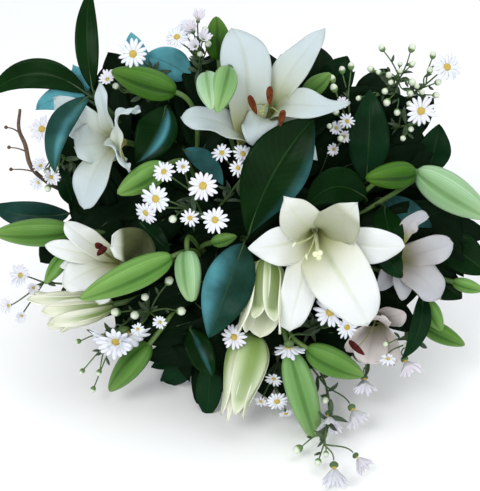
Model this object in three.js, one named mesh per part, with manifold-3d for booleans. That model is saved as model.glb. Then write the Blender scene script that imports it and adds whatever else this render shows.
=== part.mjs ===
// A hand-tied bouquet of white lilies, lily buds, asters and dark leaves, lying on a surface.
// It is laid out on its face, x to the right, y up the face and z towards the viewer, and then laid down.
import * as THREE from "three";
import { mergeVertices } from "three/addons/utils/BufferGeometryUtils.js";
import Module from "manifold-3d";

const wasm = await Module();
wasm.setup();

// Driving dimensions, in millimetres and degrees
const faceWidth = 408;                  // the whole face, from edge to edge
const faceColumns = 480;                // the columns that places on the face are counted in
const faceRows = 480;                   // row of the middle, doubled
const viewDistance = 1100;              // from which the places line up as they are given
const faceTilt = 35;                    // the face looks this far above the horizon
const restHeight = 173;                 // middle of the face above the surface
const faceCentre = [2.2, -56.93];       // middle of the face in the part's own frame, across and back
const seatGap = 0.3;                    // between a stalk's end and the bloom it carries
const tie = { depth: -150, width: 13, bore: 17.2, wall: 3.4, turns: 4 };
const cutDepth = -278;                  // where the stems are cut
const petalThick = 1.5;
const leafThick = 1.2;
const lilyStem = { radius: 3.4, ring: 7.7, sides: 6, exit: 32 };
const leafStem = { radius: 1.9, ring: 14.2, sides: 4, exit: 9 };
const asterStem = { radius: 1.5, ring: 14.6, sides: 4, exit: 9 };
const stalkRadius = 2.1;
const leafStalk = { width: 2.4, thick: 2 };
const twigRadius = 0.9;

const finishes = {
  stem: { color: 0x4f7a33, roughness: 0.5 },
  petal: { color: 0xeef1ea, roughness: 0.45 },
  opening: { color: 0xc9d8ae, roughness: 0.45 },
  stamen: { color: 0x6a2412, roughness: 0.8 },
  leaf: { color: 0x12331c, roughness: 0.25 },
  aster: { color: 0xf2f0ea, roughness: 0.6 },
  twig: { color: 0x6b4a30, roughness: 0.8 },
  twine: { color: 0xb08d58, roughness: 0.9 },
};

// Places are given as column, row and depth on the face, the depth in mm towards the viewer
const scale = faceWidth / faceColumns;
function spot([column, row, depth]) {
  const nearness = 1 - depth / viewDistance;
  return new THREE.Vector3(
    (column - faceColumns / 2) * scale * nearness,
    (faceRows / 2 - row) * scale * nearness,
    depth,
  );
}

// A closed geometry with merged corners, as a solid that can be joined and cut
function solid(geometry) {
  const bare = geometry.clone();
  bare.deleteAttribute("normal");
  bare.deleteAttribute("uv");
  const merged = mergeVertices(bare, 1e-4);
  const vertProperties = new Float32Array(merged.attributes.position.array);
  const triVerts = new Uint32Array(merged.index.array);
  const made = new wasm.Manifold(new wasm.Mesh({ numProp: 3, vertProperties, triVerts }));
  if (made.volume() > 0) return made;
  for (let i = 0; i < triVerts.length; i += 3) {
    [triVerts[i], triVerts[i + 1]] = [triVerts[i + 1], triVerts[i]];
  }
  return new wasm.Manifold(new wasm.Mesh({ numProp: 3, vertProperties, triVerts }));
}

// Solids in one, without the tiny closed gaps that are left where several cross
function joined(solids) {
  const whole = solids.reduce((sum, piece) => sum.add(piece));
  const kept = whole.decompose().filter((part) => part.volume() > 0.01);
  return kept.reduce((sum, part) => sum.add(part));
}

// A curve that is cut into steps at its own points, not at even lengths
class Route extends THREE.CatmullRomCurve3 {
  getPointAt(t, target) {
    return this.getPoint(t, target);
  }
  getTangentAt(t, target) {
    return this.getTangent(t, target);
  }
}

// A rod of even thickness along a curve
function rod(curve, radius, sides, steps) {
  const section = new THREE.Shape();
  for (let k = 0; k < sides; k++) {
    const angle = (2 * Math.PI * k) / sides;
    const corner = [radius * Math.cos(angle), radius * Math.sin(angle)];
    if (k === 0) section.moveTo(...corner);
    else section.lineTo(...corner);
  }
  section.closePath();
  const options = { steps, bevelEnabled: false, extrudePath: curve };
  return solid(new THREE.ExtrudeGeometry(section, options));
}

function knot(place, radius) {
  return solid(new THREE.OctahedronGeometry(radius).translate(place.x, place.y, place.z));
}

// A thin blade along a curve: its two faces share their edges, and run to a point at the tip
function blade({ curve, facing, width, outline, cup, wave = 0, waves = 3, thick, along, across }) {
  const corners = [];
  const faces = [];
  const tops = [];
  const bottoms = [];
  for (let i = 0; i < along; i++) {
    const t = i / along;
    const centre = curve.getPoint(t);
    const tangent = curve.getTangent(t).normalize();
    const side = new THREE.Vector3().crossVectors(tangent, facing(t, tangent)).normalize();
    const full = typeof thick === "function" ? thick(t) : thick;
    const normal = new THREE.Vector3().crossVectors(side, tangent).normalize();
    const half = (width * outline(t)) / 2;
    tops.push([]);
    bottoms.push([]);
    for (let j = 0; j <= across; j++) {
      const s = (2 * j) / across - 1;
      const ripple = wave * s * s * Math.sin(waves * Math.PI * t + s);
      const raise = half * cup(t) * s * s + ripple;
      const middle = centre.clone().addScaledVector(side, s * half).addScaledVector(normal, raise);
      const edge = j === 0 || j === across;
      const depth = edge ? 0 : full / 2;
      tops[i].push(corners.length);
      corners.push(middle.clone().addScaledVector(normal, depth));
      if (edge) {
        bottoms[i].push(corners.length - 1);
        continue;
      }
      bottoms[i].push(corners.length);
      corners.push(middle.clone().addScaledVector(normal, -depth));
    }
  }
  const tip = corners.length;
  corners.push(curve.getPoint(1));
  for (let i = 0; i < along; i++) {
    for (let j = 0; j < across; j++) {
      const [a, b] = [tops[i][j], tops[i][j + 1]];
      const [c, d] = [bottoms[i][j], bottoms[i][j + 1]];
      if (i === along - 1) {
        faces.push([a, b, tip], [d, c, tip]);
        continue;
      }
      faces.push([a, b, tops[i + 1][j + 1]], [a, tops[i + 1][j + 1], tops[i + 1][j]]);
      faces.push([d, c, bottoms[i + 1][j + 1]], [bottoms[i + 1][j + 1], c, bottoms[i + 1][j]]);
    }
  }
  const rim = [...tops[0], ...bottoms[0].slice(1, -1).reverse()];
  for (let k = 1; k < rim.length - 1; k++) faces.push([rim[0], rim[k + 1], rim[k]]);
  return body(corners, faces);
}

function body(corners, faces) {
  const geometry = new THREE.BufferGeometry();
  const numbers = corners.flatMap((corner) => corner.toArray());
  geometry.setAttribute("position", new THREE.Float32BufferAttribute(numbers, 3));
  geometry.setIndex(faces.flat());
  return solid(geometry);
}

// A spindle along a curve, with three long swellings where it is a lily bud
const budStations = [0.13, 0.38, 0.66, 0.88];
function spindle({ curve, width, sides = 6, stations = budStations, swell = 0.08, radiusAt = budRadius }) {
  const corners = [curve.getPoint(0)];
  const faces = [];
  const start = new THREE.Vector3(0.3, 0.2, 1);
  for (const t of stations) {
    const centre = curve.getPoint(t);
    const tangent = curve.getTangent(t);
    const across = new THREE.Vector3().crossVectors(tangent, start).normalize();
    const over = new THREE.Vector3().crossVectors(across, tangent).normalize();
    for (let k = 0; k < sides; k++) {
      const angle = (2 * Math.PI * k) / sides;
      const radius = (width / 2) * radiusAt(t) * (1 + swell * Math.cos(3 * angle));
      corners.push(centre.clone()
        .addScaledVector(across, radius * Math.cos(angle))
        .addScaledVector(over, radius * Math.sin(angle)));
    }
  }
  const end = corners.length;
  corners.push(curve.getPoint(1));
  for (let k = 0; k < sides; k++) {
    const next = (k + 1) % sides;
    faces.push([0, 1 + next, 1 + k]);
    for (let i = 0; i < stations.length - 1; i++) {
      const low = 1 + i * sides;
      const high = low + sides;
      faces.push([low + k, low + next, high + next], [low + k, high + next, high + k]);
    }
    faces.push([end - sides + k, end - sides + next, end]);
  }
  return body(corners, faces);
}

function budRadius(t) {
  return Math.sin(Math.PI * Math.pow(t, 0.8)) ** 0.62 * (1 - 0.12 * t);
}

function arc(from, to, bend) {
  const middle = from.clone().lerp(to, 0.5).add(bend);
  return new THREE.QuadraticBezierCurve3(from, middle, to);
}

// A stalk that leaves its fork towards the viewer and meets what it carries end on
function stalkCurve(fork, end, direction, reach) {
  const rise = new THREE.Vector3().subVectors(end, fork).length();
  const first = fork.clone().lerp(end, 0.35);
  const last = end.clone().addScaledVector(direction, -Math.min(reach, rise * 0.45));
  return new THREE.CubicBezierCurve3(fork, first, last, end);
}

// A stem from its cut end, through its own lane in the tie, and straight out to its fork in the head
function stem(lane, { ring, exit, radius, sides }, fork) {
  const angle = THREE.MathUtils.degToRad(lane);
  const across = new THREE.Vector3(Math.cos(angle), Math.sin(angle), 0);
  const inLane = (spread, depth) => across.clone().multiplyScalar(ring * spread).setZ(depth);
  const leaving = inLane(1, tie.depth + exit);
  const points = [
    inLane(1.3, cutDepth),
    inLane(1.03, tie.depth - tie.width),
    leaving,
    leaving.clone().lerp(fork, 0.2).add(new THREE.Vector3(0, 0, 2)),
    leaving.clone().lerp(fork, 0.6),
    fork,
  ];
  const route = new Route(points, false, "centripetal");
  const pieces = [rod(route, radius, sides, points.length - 1)];
  return { pieces, leaves: (index, pitch) => route.getPoint(0.99 - index * pitch) };
}

// A leaf on its own stalk: bow swings its middle sideways on the face, lift raises it, roll turns it
const towardsViewer = new THREE.Vector3(0, 0, 1);
const stalkShare = 1 / 3;
function leafWidth(t, width) {
  if (t < stalkShare) return leafStalk.width / width;
  const s = (t - stalkShare) / (1 - stalkShare);
  return Math.max(leafStalk.width / width, Math.sin(Math.PI * Math.pow(s, 0.85)) ** 0.8);
}

function leaf(fork, { base, tip, width, bow = 0, lift = 6, roll = 0, fold = 0.18, along }) {
  const from = spot(base);
  const to = spot(tip);
  const across = new THREE.Vector3().subVectors(to, from).cross(towardsViewer).normalize();
  const middle = from.clone().lerp(to, 0.5).add(across.multiplyScalar(-bow).setZ(lift));
  const curve = new THREE.CatmullRomCurve3([fork, from, middle, to], false, "centripetal");
  const turn = THREE.MathUtils.degToRad(roll);
  const rootSide = curve.getTangent(stalkShare + 0.1);
  return blade({
    curve,
    facing: (t, tangent) => {
      if (t > stalkShare) return towardsViewer.clone().applyAxisAngle(tangent, turn);
      const side = new THREE.Vector3().crossVectors(rootSide, towardsViewer);
      return side.cross(tangent).applyAxisAngle(tangent, turn);
    },
    width,
    outline: (t) => leafWidth(t, width),
    cup: (t) => (t > stalkShare ? fold : 0),
    thick: (t) => (t < stalkShare ? leafStalk.thick : leafThick),
    along: along ?? (width > 30 ? 9 : 7),
    across: 2,
  });
}

// A leafy twig: the stem, and the leaves that leave its fork
function leafyTwig({ lane, fork, leaves, inner = [], ...own }) {
  const twig = stem(lane, { ...leafStem, ...own }, spot(fork));
  const places = [...leaves, ...inner.map((place) => ({ lift: 8, along: 6, ...place }))];
  const grown = places.map((place, index) => leaf(twig.leaves(index, 0.035), place));
  return joined([...twig.pieces, ...grown]);
}

// A lily tepal from the heart of its bloom to its tip: it leaves the heart along the bloom's axis
const petalOutlines = {
  broad: (t) => 0.1 * (1 - t) + 0.96 * Math.sin(Math.PI * Math.pow(t, 1.7)),
  slim: (t) => 0.12 * (1 - t) + 0.95 * Math.sin(Math.PI * Math.pow(t, 1.5)),
};

const petalGrain = { along: 5, across: 4 };
const plainGrain = { along: 5, across: 3 };
function petal(heart, axis, place) {
  const { tip, width, via, arch = 10, rise = 0.42, shape = "broad", cup = 0.4, roll = 0, wave = 1 } = place;
  const to = spot(tip);
  const outward = new THREE.Vector3().subVectors(to, heart);
  outward.addScaledVector(axis, -outward.dot(axis)).normalize();
  const inner = shape === "broad";
  const root = heart.clone().addScaledVector(axis, inner ? 5 : 1.5).addScaledVector(outward, 3);
  const reach = new THREE.Vector3().subVectors(to, root);
  const length = reach.length();
  const first = root.clone().addScaledVector(axis, length * rise).addScaledVector(reach, 0.08);
  const last = via ? spot(via) : to.clone().addScaledVector(reach, -0.3).addScaledVector(axis, arch);
  const curve = new THREE.CubicBezierCurve3(root, first, last, to);
  const turn = THREE.MathUtils.degToRad(roll);
  return blade({
    curve,
    facing: (t, tangent) => axis.clone()
      .addScaledVector(outward, -0.9 * (1 - t))
      .applyAxisAngle(tangent, turn * Math.min(1, 2 * t)),
    width,
    outline: petalOutlines[shape],
    cup: (t) => cup * (1 - 1.15 * t),
    wave,
    thick: petalThick,
    along: place.along ?? petalGrain.along,
    across: place.across ?? petalGrain.across,
  });
}

const asterRays = 10;
const coreLength = 9;
function bloom({ heart, axis, petals, grain = petalGrain }) {
  const from = spot(heart);
  const ahead = new THREE.Vector3(...axis).normalize();
  const core = new THREE.CylinderGeometry(4.2, 3.4, coreLength, 6).translate(0, coreLength / 2, 0);
  core.applyQuaternion(new THREE.Quaternion().setFromUnitVectors(new THREE.Vector3(0, 1, 0), ahead));
  core.translate(from.x, from.y, from.z);
  return joined([solid(core), ...petals.map((place) => petal(from, ahead, { ...grain, ...place }))]);
}

// Filaments with their anthers, and the pistil, on one small foot in the throat
function stamens({ heart, axis, anthers, pistil }) {
  const ahead = new THREE.Vector3(...axis).normalize();
  const foot = spot(heart).addScaledVector(ahead, coreLength + seatGap);
  const pieces = [rod(new THREE.LineCurve3(foot, foot.clone().addScaledVector(ahead, 3)), 1.9, 5, 1)];
  for (const [from, to] of anthers) {
    const ends = [spot(from), spot(to)];
    const middle = ends[0].clone().lerp(ends[1], 0.5);
    const start = foot.clone().addScaledVector(ahead, 1.5);
    const bend = start.clone().addScaledVector(ahead, start.distanceTo(middle) * 0.55);
    pieces.push(rod(new THREE.QuadraticBezierCurve3(start, bend, middle), 0.7, 3, 3));
    const curve = new THREE.LineCurve3(...ends);
    pieces.push(spindle({ curve, width: 5, sides: 5, stations: [0.2, 0.8], swell: 0 }));
  }
  if (pistil) {
    const end = spot(pistil);
    const start = foot.clone().addScaledVector(ahead, 1.5);
    const bend = start.clone().addScaledVector(ahead, start.distanceTo(end) * 0.5);
    pieces.push(rod(new THREE.QuadraticBezierCurve3(start, bend, end), 1.1, 3, 4));
    pieces.push(knot(end, 3.6));
  }
  return joined(pieces);
}

// A bud that has begun to part: its tepals lie round a spindle, and their tips stand off
function openingBud({ heart, tip, width, fingers, bend = [0, 0, 6] }) {
  const curve = arc(spot(heart), spot(tip), new THREE.Vector3(...bend));
  const pieces = [spindle({ curve, width: width * 0.8 })];
  const axis = curve.getTangent(0).normalize();
  const plain = { cup: 0.5, wave: 0, along: 5, across: 2, shape: "slim" };
  for (const place of fingers) pieces.push(petal(curve.getPoint(0.05), axis, { ...plain, ...place }));
  return joined(pieces);
}

function lilyStalks({ lane, fork, buds = [], blooms = [] }) {
  const { pieces, leaves } = stem(lane, lilyStem, spot(fork));
  blooms.forEach(({ heart, axis }, index) => {
    const ahead = new THREE.Vector3(...axis).normalize();
    const seat = spot(heart).addScaledVector(ahead, -seatGap);
    pieces.push(rod(stalkCurve(leaves(index, 0.03), seat, ahead, 40), stalkRadius, 4, 3));
  });
  buds.forEach(({ base, tip, width, bend = [0, 0, 4] }, index) => {
    const curve = arc(spot(base), spot(tip), new THREE.Vector3(...bend));
    const from = leaves(blooms.length + index, 0.03);
    const stalk = stalkCurve(from, curve.getPoint(0.06), curve.getTangent(0).normalize(), 34);
    pieces.push(rod(stalk, stalkRadius, 4, 3), spindle({ curve, width }));
  });
  return joined(pieces);
}

// An aster head and its stalk in one: pointed rays round a low disc; cupped lifts the rays forward
function asterHead(split, { place, size, look = [0, 0, 1], cupped = 0.1 }) {
  const centre = spot(place);
  const direction = new THREE.Vector3(...look).normalize();
  const radius = size / 2;
  const seat = centre.clone().addScaledVector(direction, -radius * 0.4 - 1);
  const route = stalkCurve(split, seat, direction, 9);
  const corners = [split];
  const faces = [[0, 2, 1], [0, 3, 2], [0, 1, 3]];
  const turn = new THREE.Quaternion().setFromUnitVectors(towardsViewer, direction);
  for (const t of [0.15, 0.7, 1]) {
    for (let k = 0; k < 3; k++) {
      const angle = (2 * Math.PI * (k + 0.5)) / 3;
      const corner = new THREE.Vector3(Math.cos(angle), Math.sin(angle), 0).applyQuaternion(turn);
      corners.push(route.getPoint(t).addScaledVector(corner, twigRadius));
    }
  }
  for (const low of [1, 4]) {
    for (let k = 0; k < 3; k++) {
      const next = (k + 1) % 3;
      faces.push([low + k, low + next, low + 3 + next], [low + k, low + 3 + next, low + 3 + k]);
    }
  }
  corners.push(centre.clone().addScaledVector(direction, radius * 0.22 + 0.6));
  const rim = 2 * asterRays;
  for (let k = 0; k < rim; k++) {
    const reach = k % 2 ? radius * 0.42 : radius;
    const height = reach * cupped + (k % 4 ? 0 : radius * 0.07);
    const angle = (2 * Math.PI * k) / rim;
    const out = reach * Math.sqrt(1 - cupped * cupped);
    const corner = new THREE.Vector3(out * Math.cos(angle), out * Math.sin(angle), height);
    corners.push(corner.applyQuaternion(turn).add(centre));
    const here = 11 + k;
    const next = 11 + ((k + 1) % rim);
    const low = 7 + Math.floor((3 * k) / rim);
    const lowNext = 7 + (Math.floor((3 * (k + 1)) / rim) % 3);
    faces.push([10, here, next], [low, next, here]);
    if (lowNext !== low) faces.push([low, lowNext, next]);
  }
  return body(corners, faces);
}

// A round aster bud and its stalk in one
function asterBud(split, [column, row, depth, size]) {
  const centre = spot([column, row, depth]);
  const end = centre.clone().addScaledVector(centre.clone().sub(split).normalize(), size / 2);
  const curve = new THREE.LineCurve3(split, end);
  const begin = Math.max(0.3, 1 - size / split.distanceTo(end));
  const stations = [0.12, begin, begin + (1 - begin) * 0.5];
  const radiusAt = (t) => (t <= begin ? (2 * twigRadius) / size : 1);
  return spindle({ curve, width: size, sides: 4, stations, swell: 0, radiusAt });
}

// A spray of asters: the stem forks, each arm forks again, and ends in heads and round buds
function asterSpray({ lane, fork, arms }) {
  const { pieces, leaves } = stem(lane, asterStem, spot(fork));
  arms.forEach(({ at, bend = [0, 0, 6], heads = [], buds = [] }, index) => {
    const arm = arc(leaves(index, 0.04), spot(at), new THREE.Vector3(...bend));
    const split = arm.getPoint(1).lerp(arm.getPoint(0.5), 0.03);
    pieces.push(rod(arm, twigRadius * 1.3, 3, 2));
    for (const head of heads) pieces.push(asterHead(split, head));
    for (const place of buds) pieces.push(asterBud(split, place));
  });
  return joined(pieces);
}

// A brown twig with short side buds
function bareTwig({ lane, fork, places, spurs }) {
  const curve = new THREE.CatmullRomCurve3([spot(fork), ...places.map(spot)], false, "centripetal");
  const pieces = [...stem(lane, asterStem, spot(fork)).pieces, rod(curve, 1.3, 4, 8)];
  for (const [t, place] of spurs) {
    const from = curve.getPoint(t);
    const to = spot(place);
    pieces.push(rod(new THREE.LineCurve3(from, to), 0.6, 3, 1), knot(to, 1.8));
  }
  return joined(pieces);
}

// The tie: several turns of twine side by side, as one grooved band round the stems
function tieBand() {
  const points = [];
  const stations = tie.turns * 2;
  for (let k = 0; k <= stations; k++) {
    const swell = k % 2 ? 1 : 0.6;
    points.push(new THREE.Vector2(tie.bore + tie.wall * swell, (tie.width * k) / stations));
  }
  points.push(new THREE.Vector2(tie.bore, tie.width), new THREE.Vector2(tie.bore, 0), points[0].clone());
  const band = new THREE.LatheGeometry(points, 14).translate(0, -tie.width / 2, 0);
  return solid(band.rotateX(Math.PI / 2).translate(0, 0, tie.depth));
}

// The lilies, each with its stem's lane in the tie, its fork, and what it carries
const lilies = {
  top: {
    lane: 80,
    fork: [250, 190, -92],
    blooms: [{
      heart: [268, 120, -28],
      axis: [0.02, 0.5, 0.86],
      petals: [
        { tip: [231, 29, -8], width: 43, arch: 16, cup: 0.3 },
        { tip: [325, 28, -16], width: 36, arch: 14, shape: "slim" },
        { tip: [350, 102, 16], width: 34, arch: 14, shape: "slim" },
        { tip: [183, 119, 8], width: 36, arch: 16 },
        { tip: [262, 142, 34], width: 32, via: [258, 125, 46], rise: 0.45 },
        { tip: [317, 160, -10], width: 20, arch: 12, shape: "slim" },
      ],
      anthers: [
        [[249, 95, 24], [257, 115, 28]],
        [[270, 86, 22], [270, 106, 26]],
        [[284, 110, 32], [280, 127, 36]],
      ],
      pistil: [262, 112, 30],
    }],
    buds: [
      { base: [202, 71, 23], tip: [213, 110, 52], width: 28 },
      { base: [219, 60, -40], tip: [216, 16, -34], width: 24 },
      { base: [304, 94, -46], tip: [331, 73, -36], width: 18 },
    ],
  },
  left: {
    lane: 139,
    fork: [196, 178, -90],
    blooms: [{
      grain: plainGrain,
      heart: [125, 142, -38],
      axis: [-0.45, 0.0, 0.89],
      petals: [
        { tip: [99, 84, 6], width: 17, arch: 10, shape: "slim" },
        { tip: [55, 100, -22], width: 27, arch: 4 },
        { tip: [139, 110, 18], width: 20, via: [106, 106, 30], shape: "slim", roll: -70 },
        { tip: [74, 166, 4], width: 38, arch: 14 },
        { tip: [84, 209, -6], width: 36, arch: 18 },
        { tip: [131, 172, 20], width: 22, arch: 10, shape: "slim", roll: 75 },
      ],
      anthers: [],
      pistil: [112, 146, 10],
    }],
    buds: [
      { base: [177, 92, -8], tip: [111, 71, -16], width: 28 },
      { base: [166, 165, -4], tip: [117, 194, 0], width: 25 },
    ],
  },
  low_left: {
    lane: 196,
    fork: [200, 258, -90],
    blooms: [{
      grain: plainGrain,
      heart: [128, 262, -48],
      axis: [-0.6, 0.12, 0.79],
      petals: [
        { tip: [65, 223, -16], width: 22, arch: 12, shape: "slim", roll: 35 },
        { tip: [45, 245, -26], width: 20, arch: 12, shape: "slim" },
        { tip: [60, 266, -30], width: 15, arch: 10, shape: "slim" },
        { tip: [66, 290, -14], width: 34, arch: 12 },
        { tip: [108, 230, 8], width: 36, arch: 10, roll: -30 },
        { tip: [100, 304, -30], width: 26, arch: 10 },
      ],
      anthers: [
        [[96, 246, -4], [103, 254, 0]],
        [[104, 246, -2], [97, 256, 2]],
      ],
    }],
    buds: [
      { base: [173, 256, 6], tip: [79, 299, 8], width: 28, bend: [0, 0, 6] },
      { base: [187, 251, 4], tip: [192, 302, 8], width: 24 },
      { base: [212, 242, -36], tip: [237, 236, -26], width: 13 },
      { base: [73, 230, -52], tip: [-7, 233, -60], width: 27 },
      { base: [150, 343, -50], tip: [109, 391, -72], width: 25 },
      { base: [68, 252, -56], tip: [45, 284, -56], width: 15 },
    ],
  },
  centre: {
    lane: 285,
    fork: [268, 268, -90],
    blooms: [{
      heart: [314, 226, -22],
      axis: [0.02, -0.38, 0.92],
      petals: [
        { tip: [285, 197, 42], width: 36, via: [297, 221, 54] },
        { tip: [357, 204, 38], width: 42, via: [345, 230, 56] },
        { tip: [405, 245, 14], width: 34, arch: 16, shape: "slim" },
        { tip: [368, 325, 10], width: 50, arch: 26, cup: 0.25 },
        { tip: [288, 332, 2], width: 38, arch: 22, cup: 0.3 },
        { tip: [249, 247, 28], width: 36, arch: 16 },
      ],
      anthers: [
        [[296, 242, 30], [292, 247, 31]],
        [[306, 254, 32], [307, 260, 32]],
      ],
      pistil: [318, 255, 38],
    }],
    buds: [
      { base: [290, 352, -14], tip: [317, 438, -58], width: 28 },
      { base: [306, 348, -16], tip: [364, 376, -28], width: 27 },
    ],
  },
  right: {
    lane: 352,
    fork: [318, 246, -92],
    blooms: [{
      grain: plainGrain,
      heart: [388, 258, -62],
      axis: [0.45, 0.0, 0.89],
      petals: [
        { tip: [420, 213, -30], width: 18, arch: 10, shape: "slim" },
        { tip: [452, 243, -32], width: 31, arch: 12 },
        { tip: [440, 297, -30], width: 34, arch: 12 },
        { tip: [402, 300, -24], width: 20, arch: 10, shape: "slim" },
        { tip: [378, 290, -36], width: 18, arch: 8, shape: "slim" },
        { tip: [396, 226, -38], width: 18, arch: 8, shape: "slim" },
      ],
      anthers: [
        [[398, 270, -26], [402, 278, -24]],
      ],
    }, {
      grain: plainGrain,
      heart: [378, 308, -72],
      axis: [-0.2, -0.6, 0.77],
      petals: [
        { tip: [367, 363, -30], width: 30, arch: 12 },
        { tip: [395, 364, -44], width: 28, arch: 12 },
        { tip: [345, 348, -30], width: 26, arch: 10, shape: "slim" },
        { tip: [404, 312, -30], width: 24, arch: 8, shape: "slim" },
        { tip: [381, 316, -14], width: 22, arch: 8 },
        { tip: [352, 318, -34], width: 24, arch: 8, shape: "slim" },
      ],
      anthers: [
        [[349, 340, -14], [365, 355, -12]],
      ],
    }],
    buds: [
      { base: [415, 172, -22], tip: [365, 178, -8], width: 25 },
      { base: [416, 170, -26], tip: [489, 214, -36], width: 34 },
      { base: [424, 300, -52], tip: [442, 331, -52], width: 15 },
      { base: [420, 324, -62], tip: [465, 344, -66], width: 16 },
      { base: [452, 281, -76], tip: [484, 290, -78], width: 14 },
    ],
  },
};

// Lilies just opening, each on the stalk of one of the lilies above
const openings = {
  low_left: {
    stem: "low_left",
    heart: [112, 306, -62],
    tip: [62, 328, -56],
    width: 22,
    fingers: [
      { tip: [30, 314, -50], width: 18, arch: 4, shape: "slim" },
      { tip: [50, 320, -42], width: 18, arch: 4, shape: "slim" },
      { tip: [58, 334, -50], width: 18, arch: 4, shape: "slim" },
      { tip: [80, 363, -56], width: 13, arch: 6, shape: "slim" },
    ],
  },
  under_centre: {
    stem: "centre",
    heart: [266, 262, -12],
    tip: [264, 332, -14],
    width: 30,
    fingers: [
      { tip: [240, 338, -10], width: 22, arch: 6, shape: "slim" },
      { tip: [280, 334, -14], width: 24, arch: 6, shape: "slim" },
      { tip: [262, 336, 2], width: 24, arch: 10, shape: "slim" },
    ],
  },
  low_centre: {
    stem: "centre",
    heart: [254, 338, -24],
    tip: [231, 412, -40],
    width: 36,
    fingers: [
      { tip: [221, 414, -34], width: 24, arch: 8, shape: "slim" },
      { tip: [231, 419, -22], width: 26, arch: 12, shape: "slim" },
      { tip: [247, 411, -36], width: 26, arch: 8, shape: "slim" },
    ],
  },
};

// The leafy twigs
const leafyTwigs = {
  centre: {
    lane: 0,
    ring: 0,
    radius: 3.9,
    fork: [240, 237, -70],
    leaves: [
      { base: [248, 236, -8], tip: [314, 119, 14], width: 52, lift: 8 },
      { base: [244, 243, -6], tip: [209, 338, 12], width: 42, lift: 12 },
    ],
  },
  top: {
    lane: 121,
    fork: [168, 98, -70],
    leaves: [
      { base: [142, 80, -52], tip: [131, 32, -40], width: 22 },
      { base: [190, 78, -58], tip: [144, 56, -50], width: 30, bow: -3 },
      { base: [166, 106, -50], tip: [136, 163, -36], width: 36, bow: 4 },
      { base: [206, 116, -74], tip: [196, 152, -64], width: 24 },
      { base: [184, 150, -46], tip: [223, 185, -18], width: 18, bow: 5 },
    ],
    inner: [
      { base: [214, 106, -88], tip: [232, 46, -86], width: 40 },
      { base: [136, 100, -80], tip: [108, 52, -76], width: 36 },
    ],
  },
  upper_left: {
    lane: 136,
    fork: [94, 94, -44],
    leaves: [
      { base: [93, 90, -42], tip: [90, -14, -44], width: 24, bow: 4 },
      { base: [86, 93, -44], tip: [-14, 98, -58], width: 27, bow: -19 },
      { base: [86, 99, -50], tip: [35, 107, -60], width: 20, bow: -3 },
      { base: [89, 97, -14], tip: [55, 173, 8], width: 21, bow: -10, lift: 14 },
      { base: [88, 91, -54], tip: [73, 65, -52], width: 15 },
    ],
  },
  left: {
    lane: 194,
    fork: [96, 216, -98],
    leaves: [
      { base: [70, 213, -86], tip: [-10, 204, -94], width: 26, bow: 6 },
      { base: [74, 206, -84], tip: [61, 166, -66], width: 17 },
      { base: [140, 222, -58], tip: [170, 252, -42], width: 20 },
    ],
    inner: [{ base: [78, 228, -100], tip: [40, 262, -92], width: 34 }],
  },
  bottom: {
    lane: 252,
    fork: [216, 318, -86],
    leaves: [
      { base: [190, 328, -52], tip: [213, 378, -40], width: 22 },
      { base: [196, 348, -66], tip: [151, 367, -82], width: 18 },
      { base: [196, 352, -80], tip: [161, 387, -122], width: 24 },
      { base: [214, 350, -66], tip: [208, 419, -80], width: 20 },
    ],
  },
  low_right: {
    lane: 342,
    fork: [406, 284, -100],
    leaves: [
      { base: [427, 290, -48], tip: [402, 359, -18], width: 14, bow: 10 },
      { base: [424, 270, -96], tip: [462, 298, -88], width: 30 },
    ],
  },
  right: {
    lane: 14,
    fork: [366, 206, -94],
    leaves: [
      { base: [366, 198, -52], tip: [306, 208, -18], width: 34, bow: -14, lift: 10 },
      { base: [382, 198, -68], tip: [432, 227, -52], width: 22 },
      { base: [388, 211, -40], tip: [403, 250, -14], width: 24, lift: 12 },
      { base: [438, 236, -84], tip: [489, 274, -76], width: 34 },
      { base: [380, 248, -22], tip: [401, 278, -10], width: 20 },
    ],
    inner: [{ base: [414, 196, -96], tip: [466, 206, -88], width: 38 }],
  },
  top_right: {
    lane: 54,
    fork: [330, 130, -84],
    leaves: [
      { base: [292, 100, -80], tip: [281, 54, -66], width: 28 },
      { base: [326, 96, -78], tip: [347, 56, -62], width: 32 },
      { base: [366, 182, -56], tip: [370, 89, -40], width: 36, lift: 10 },
      { base: [428, 174, -76], tip: [439, 124, -58], width: 30 },
    ],
    inner: [
      { base: [272, 110, -98], tip: [262, 50, -90], width: 40 },
      { base: [318, 104, -92], tip: [320, 46, -88], width: 36 },
      { base: [362, 116, -100], tip: [388, 68, -106], width: 38 },
      { base: [386, 134, -92], tip: [434, 98, -84], width: 38 },
    ],
  },
};

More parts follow.
